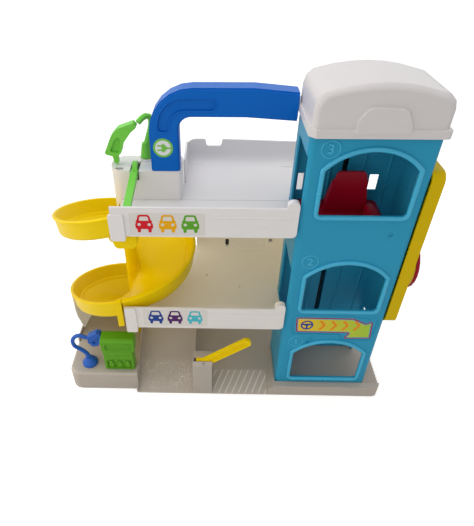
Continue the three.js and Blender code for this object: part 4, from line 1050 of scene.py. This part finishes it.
# each layer's ink, how far its outline is drawn in and how high it lies
layers = (("border_ink", 0, 0.1), ("sky_ink", 1.6, 0.17), ("arrow_ink", 2.5, 0.24))
for ink_name, inset, height in layers:
    outline = rounded(drawn_in(ARROW, inset))
    layer = plate(f"arrow_{ink_name}", [outline], RECESS_FLOOR - height, height + 0.05)
    place_on(layer, ink_name)
print("arrow layers:", len(layers))

# %% Chevrons and a steering wheel on the arrow
CHEVRONS, CHEVRON_LEFT, CHEVRON_PITCH = 4, 27, 14
for k in range(CHEVRONS):
    x = CHEVRON_LEFT + k * CHEVRON_PITCH
    chevron = [(x, 119.5, 0.4), (x + 3.4, 119.5, 0.4), (x + 9, 127.4, 0.5)]
    chevron += [(x + 3.4, 135.4, 0.4), (x, 135.4, 0.4), (x + 5.4, 127.4, 0.5)]
    mark = plate(f"arrow_chevron_{k + 1}", [rounded(chevron)], RECESS_FLOOR - 0.3, INK_THICKNESS)
    place_on(mark, "orange_ink")
WHEEL = (13, 127.6)
wheel = [ring_outline(*WHEEL, 7.6), ring_outline(*WHEEL, 5.6)]
place_on(plate("arrow_wheel", wheel, RECESS_FLOOR - 0.3, INK_THICKNESS), "navy_ink")
spokes = [(11.9, 121, 0.3), (14.1, 121, 0.3), (14.1, 126.6, 0.6), (19.5, 128.2, 0.3)]
spokes += [(19.5, 130, 0.3), (6.5, 130, 0.3), (6.5, 128.2, 0.3), (11.9, 126.6, 0.6)]
wheel_spokes = plate("arrow_wheel_spokes", [rounded(spokes)], RECESS_FLOOR - 0.34, INK_THICKNESS)
place_on(wheel_spokes, "navy_ink")
print("chevrons:", CHEVRONS)

# %% A rolled edge round the arrow's recess
ARROW_RECESS = [
    (-5.3, 112.4, 5),
    (-5.3, 143.6, 5),
    (60.2, 143.8, 3),
    (86, 138.9, 3),
    (97.9, 142.8, 3),
    (94.8, 102.2, 3),
    (57.2, 102.2, 3),
    (55.3, 111.8, 3),
]
edge = [(x, 0.1, z) for x, z in rounded(ARROW_RECESS)]
place_on(bead("arrow_recess_rim", edge, 0.6), "tower")
print("recess edge of", len(edge), "points")

# %% [markdown]
# ## The plug badge on the handle
#
# A round label where the handle meets the charging cabinet shows that toy cars plug in there: a green ring,
# a white face and a green two-pin plug.

# %% The badge
BADGE = (-156.1, 328.2)
BADGE_RADIUS, BADGE_FACE_RADIUS = 10.6, 8.3
HANDLE_FRONT = 60.5
badge_ring = plate("badge_ring", [ring_outline(*BADGE, BADGE_RADIUS)], HANDLE_FRONT - 0.15, FILM_THICKNESS)
place_on(badge_ring, "badge_green")
face = ring_outline(*BADGE, BADGE_FACE_RADIUS)
badge_face = plate("badge_face", [face], HANDLE_FRONT - 0.22, INK_THICKNESS)
place_on(badge_face, "badge_white")
PLUG = [  # from the badge's middle: two pins on the left, the cord on the right
    (-6.2, -3.3, 0.5), (-1.4, -3.3, 0.2), (-1.4, -4.6, 1), (1, -4.6, 2), (4.6, -0.9, 1.2), (9, -0.9, 0.3),
    (9, 0.9, 0.3), (4.6, 0.9, 1.2), (1, 4.6, 2), (-1.4, 4.6, 1), (-1.4, 3.3, 0.2), (-6.2, 3.3, 0.5),
    (-6.2, 1.6, 0.5), (-1.6, 1.6, 0.3), (-1.6, -1.6, 0.3), (-6.2, -1.6, 0.5),
]
plug_edge = rounded([(BADGE[0] + x, BADGE[1] + z, r) for x, z, r in PLUG], 4)
place_on(plate("badge_plug", [plug_edge], HANDLE_FRONT - 0.3, INK_THICKNESS), "badge_green")
print("badge on the handle")

# %% [markdown]
# ## The grip's recess
#
# The handle's face is dished where a hand goes round it, and the edge of that recess is rolled. A thin bead
# along its outline gives the bright line that shows it, without cutting into the loaded handle.

# %% The recess's rolled edge
GRIP_RECESS = [
    (-161, 345, 5),
    (-148.5, 345, 5),
    (-148.5, 367.5, 16),
    (-100.5, 367.5, 6),
    (-100.5, 380.5, 6),
    (-161, 380.5, 29),
]
edge = [(x, HANDLE_FRONT + 0.1, z) for x, z in rounded(GRIP_RECESS, 8)]
place_on(bead("handle_recess_edge", edge, 0.75), "handle")
print("grip recess of", len(GRIP_RECESS), "corners edged")

# %% [markdown]
# ## Pegs and a screw of the middle deck
#
# The real decks are clipped and screwed together. Two round pegs stand up about a millimetre from the
# middle deck's floor, and a crosshead screw sits in the bracket on its back wall. A peg is a short cylinder
# with a rolled rim. The screw's cross is cut through a thin plate, and a dark disc behind it is painted
# shade that makes the cross look deep. The slot in that wall would show daylight, so a black plate backs it
# as painted shade.

# %% The pegs
FLOOR_2 = 127.5
PEG_RADIUS, PEG_HEIGHT, PEG_SUNK = 1.5, 2.6, 1.5
PEGS = ((-110.8, 93), (-67.2, 69.3))


def peg(name, x, y):
    """A round peg end with a rolled rim, sunk a little into the middle deck."""
    deselect()
    middle = FLOOR_2 - PEG_SUNK + PEG_HEIGHT / 2
    bpy.ops.mesh.primitive_cylinder_add(
        vertices=24, radius=PEG_RADIUS * MM, depth=PEG_HEIGHT * MM, location=at(x, y, middle)
    )
    return smooth(finish_with(named(name), "BEVEL", width=0.45 * MM, segments=3, limit_method="ANGLE"))


for k, (x, y) in enumerate(PEGS, 1):
    place_on(peg(f"deck_peg_{k}", x, y), "film")
print("pegs:", len(PEGS))

# %% A slot's painted shade and the screw
SCREW = (-18.9, 156.2, 142.5)
SCREW_RADIUS = 2.9


def screw_head(name, x, y, z, radius):
    """A crosshead screw seen from the front: a round plate with a cross cut through it over a dark disc of
    painted shade.
    """
    arm, bar = radius * 0.62, radius * 0.16
    cross = [(bar, bar), (arm, bar), (arm, -bar), (bar, -bar), (bar, -arm), (-bar, -arm)]
    cross += [(-bar, -bar), (-arm, -bar), (-arm, bar), (-bar, bar), (-bar, arm), (bar, arm)]
    head = plate(name, [ring_outline(x, z, radius, 24), [(x + u, z + v) for u, v in cross]], y, 0.6)
    # painted shade: a dark disc behind the cross makes it look deep
    well = plate(f"{name}_well", [ring_outline(x, z, radius * 0.9, 24)], y + 0.5, 0.3)
    place_on(head, "steel")
    place_on(well, "black")


# painted shade: a black plate backs the slot
slot_painted_shade = plate("deck_slot_painted_shade", [box_outline(-87, 128.5, -77, 144, 1)], 160.4, 0.6)
place_on(slot_painted_shade, "black")
screw_head("bracket_screw", *SCREW, SCREW_RADIUS)
print("screw of", 2 * SCREW_RADIUS, "mm")

# %% [markdown]
# ## Fine lines on the decks
#
# A fine fold runs where the middle deck's floor turns up into its back wall, a step breaks the left end of
# the top rail, and a ridge runs along the right half of each rail. They are thin open beads, partly sunk
# into the moulding that they are on.

# %% Fold, step and ridges
FOLD = [(-122, 150.6, FLOOR_2 + 1.2), (-17, 150.6, FLOOR_2 + 1.2)]
place_on(bead("deck_fold", FOLD, 0.5, closed=False), "ivory")
STEP = [(-192, -2.9, 283.7), (-187.3, -2.9, 283.7), (-187.7, -2.9, 276.5)]
place_on(bead("rail_step", STEP, 0.55, closed=False), "white")
RIDGES = {"middle": 151, "top": 283.2}
for rail, z in RIDGES.items():
    ridge = [(-109.5, -3.1, z), (-23, -3.1, z)]
    place_on(bead(f"rail_ridge_{rail}", ridge, 0.7, closed=False), "white")
print("ridges:", len(RIDGES))

# %% [markdown]
# ## The pump's front
#
# The pump's face is one mould with a framed screen, a row of keys and three plugs in a tray. Fine rolled
# frames round them catch the light and let the shapes read from afar.

# %% Frames on the pump
PUMP_FRAMES = {  # each frame's depth, its corners and its bead's radius
    "screen": (2.3, [(-242, 72), (-208.6, 72), (-208.6, 84.5), (-242, 84.5)], 0.6),
    "tray": (4.9, [(-243.2, 34.6), (-210.6, 34.6), (-210.6, 51), (-243.2, 51)], 0.55),
}
PLUGS, PLUG_LEFT, PLUG_PITCH, PLUG_HALF = 3, -237.8, 11, 3.2
for k in range(PLUGS):
    x = PLUG_LEFT + PLUG_PITCH * k
    left, right = x - PLUG_HALF, x + PLUG_HALF
    PUMP_FRAMES[f"plug_{k + 1}"] = (5.6, [(left, 36.2), (right, 36.2), (right, 44.2), (left, 44.2)], 0.45)
for part, (front, corners, radius) in PUMP_FRAMES.items():
    edge = [(x, front, z) for x, z in rounded([(x, z, 1.4) for x, z in corners], 3)]
    place_on(bead(f"pump_{part}_frame", edge, radius), "green")
print("pump frames:", len(PUMP_FRAMES))

# %% [markdown]
# ## The floor
#
# The toy stands on a pale floor that runs on as its backdrop. To the camera it also glows a little, so that
# it looks like white paper and still keeps the toy's soft shadow. A brighter lamp could bleach the floor as
# well, but it would wash out the toy's own colours.

# %% The floor
FLOOR_BOUNCE = 0.8  # share of the light that the floor throws back on the toy
FLOOR_GLOW = 0.42  # light that the camera sees it give off
FLOOR_SIZE = 12  # metres


def pale_floor():
    """A pale floor that the camera sees as white paper."""
    material, tree, shader, place = new_finish("pale_floor")
    seen = node(tree, "ShaderNodeLightPath", output="Is Camera Ray")
    paper = mixed(noise(place, 3, 2), linear(253, 253, 253), linear(255, 255, 255))
    mixed(seen, grey(FLOOR_BOUNCE), paper).feed(shader, "Base Color")
    mixed(seen, grey(0), grey(FLOOR_GLOW)).feed(shader, "Emission Color")
    shader.inputs["Emission Strength"].default_value = 1
    shader.inputs["Roughness"].default_value = 0.9
    shader.inputs["Specular IOR Level"].default_value = 0.1
    return material


deselect()
bpy.ops.mesh.primitive_plane_add(size=FLOOR_SIZE, location=(0, 0, -0.0005))
floor = named("floor")
floor.data.materials.append(pale_floor())
print("floor laid,", FLOOR_SIZE, "m wide")

# %% [markdown]
# ## The light
#
# A studio for small things is mostly white walls, which an even sky stands in for. Seen directly, in a
# mirror or through glass it is white, and it lights the toy with a little more than half of that. Three big
# soft lamps give the toy its form: a strong one from above, a warm one from the front left and another from
# the left.

# %% The sky
SKY_STRENGTH = 0.58
world = bpy.data.worlds.new("studio")
bpy.context.scene.world = world
world.use_nodes = True
sky = world.node_tree
background = sky.nodes["Background"]
background.inputs["Color"].default_value = grey(1)
seen = node(sky, "ShaderNodeLightPath", output="Is Camera Ray")
mirrored = node(sky, "ShaderNodeLightPath", output="Is Glossy Ray")
refracted = node(sky, "ShaderNodeLightPath", output="Is Transmission Ray")
((seen + mirrored + refracted) * (1 - SKY_STRENGTH) + SKY_STRENGTH).feed(background, "Strength")
print("sky at", SKY_STRENGTH)

# %% The lamps
AIM = (0, 0, 0.15)


def soft_lamp(name, place, size, power, tint=(1, 1, 1)):
    """A square area lamp, in metres and watts, that points from its place to the toy's middle."""
    deselect()
    bpy.ops.object.light_add(type="AREA", location=place)
    lamp = bpy.context.object
    lamp.name = name
    lamp.data.size = size
    lamp.data.energy = power
    lamp.data.color = tint
    lamp.rotation_euler = (Vector(AIM) - Vector(place)).to_track_quat("-Z", "Y").to_euler()


soft_lamp("overhead", (-0.2, 0.15, 1.6), 1.3, 8)
soft_lamp("front_left", (-0.8, -1.6, 0.7), 1.2, 3.4, (1, 0.9, 0.76))
soft_lamp("left", (-1.1, -0.1, 0.5), 0.8, 3.5, (1, 0.95, 0.88))
print("lamps on")

# %% [markdown]
# ## The camera
#
# The camera stands where the picture was taken from: about 40 cm in front of the toy and 53 cm above the
# ground, looking down by nearly forty degrees. The lens and the small sideways shift follow from how the
# straight edges of the toy run together in the picture.

# %% The camera
PICTURE_HEIGHT = 526
FOCAL_PIXELS = 458.7
PRINCIPAL_LEFT_OF_CENTRE = 31
TILT, HEADING, ROLL = 38.45, 1.35, -0.13  # degrees
CAMERA_PLACE = at(-100.4, -392.2, 533.8)
bpy.ops.object.camera_add(location=CAMERA_PLACE)
camera = bpy.context.object
camera.data.sensor_width = 36
camera.data.lens = FOCAL_PIXELS * camera.data.sensor_width / PICTURE_HEIGHT
camera.data.shift_x = PRINCIPAL_LEFT_OF_CENTRE / PICTURE_HEIGHT
aim = Euler((math.radians(90 - TILT), 0, math.radians(HEADING))).to_quaternion()
aim = aim @ Quaternion((0, 0, 1), math.radians(ROLL))
camera.rotation_euler = aim.to_euler()
camera.data.clip_start = 0.01
camera.data.clip_end = 50
bpy.context.scene.camera = camera
bpy.context.scene.view_settings.view_transform = "Standard"
print("camera lens", round(camera.data.lens, 2), "mm")
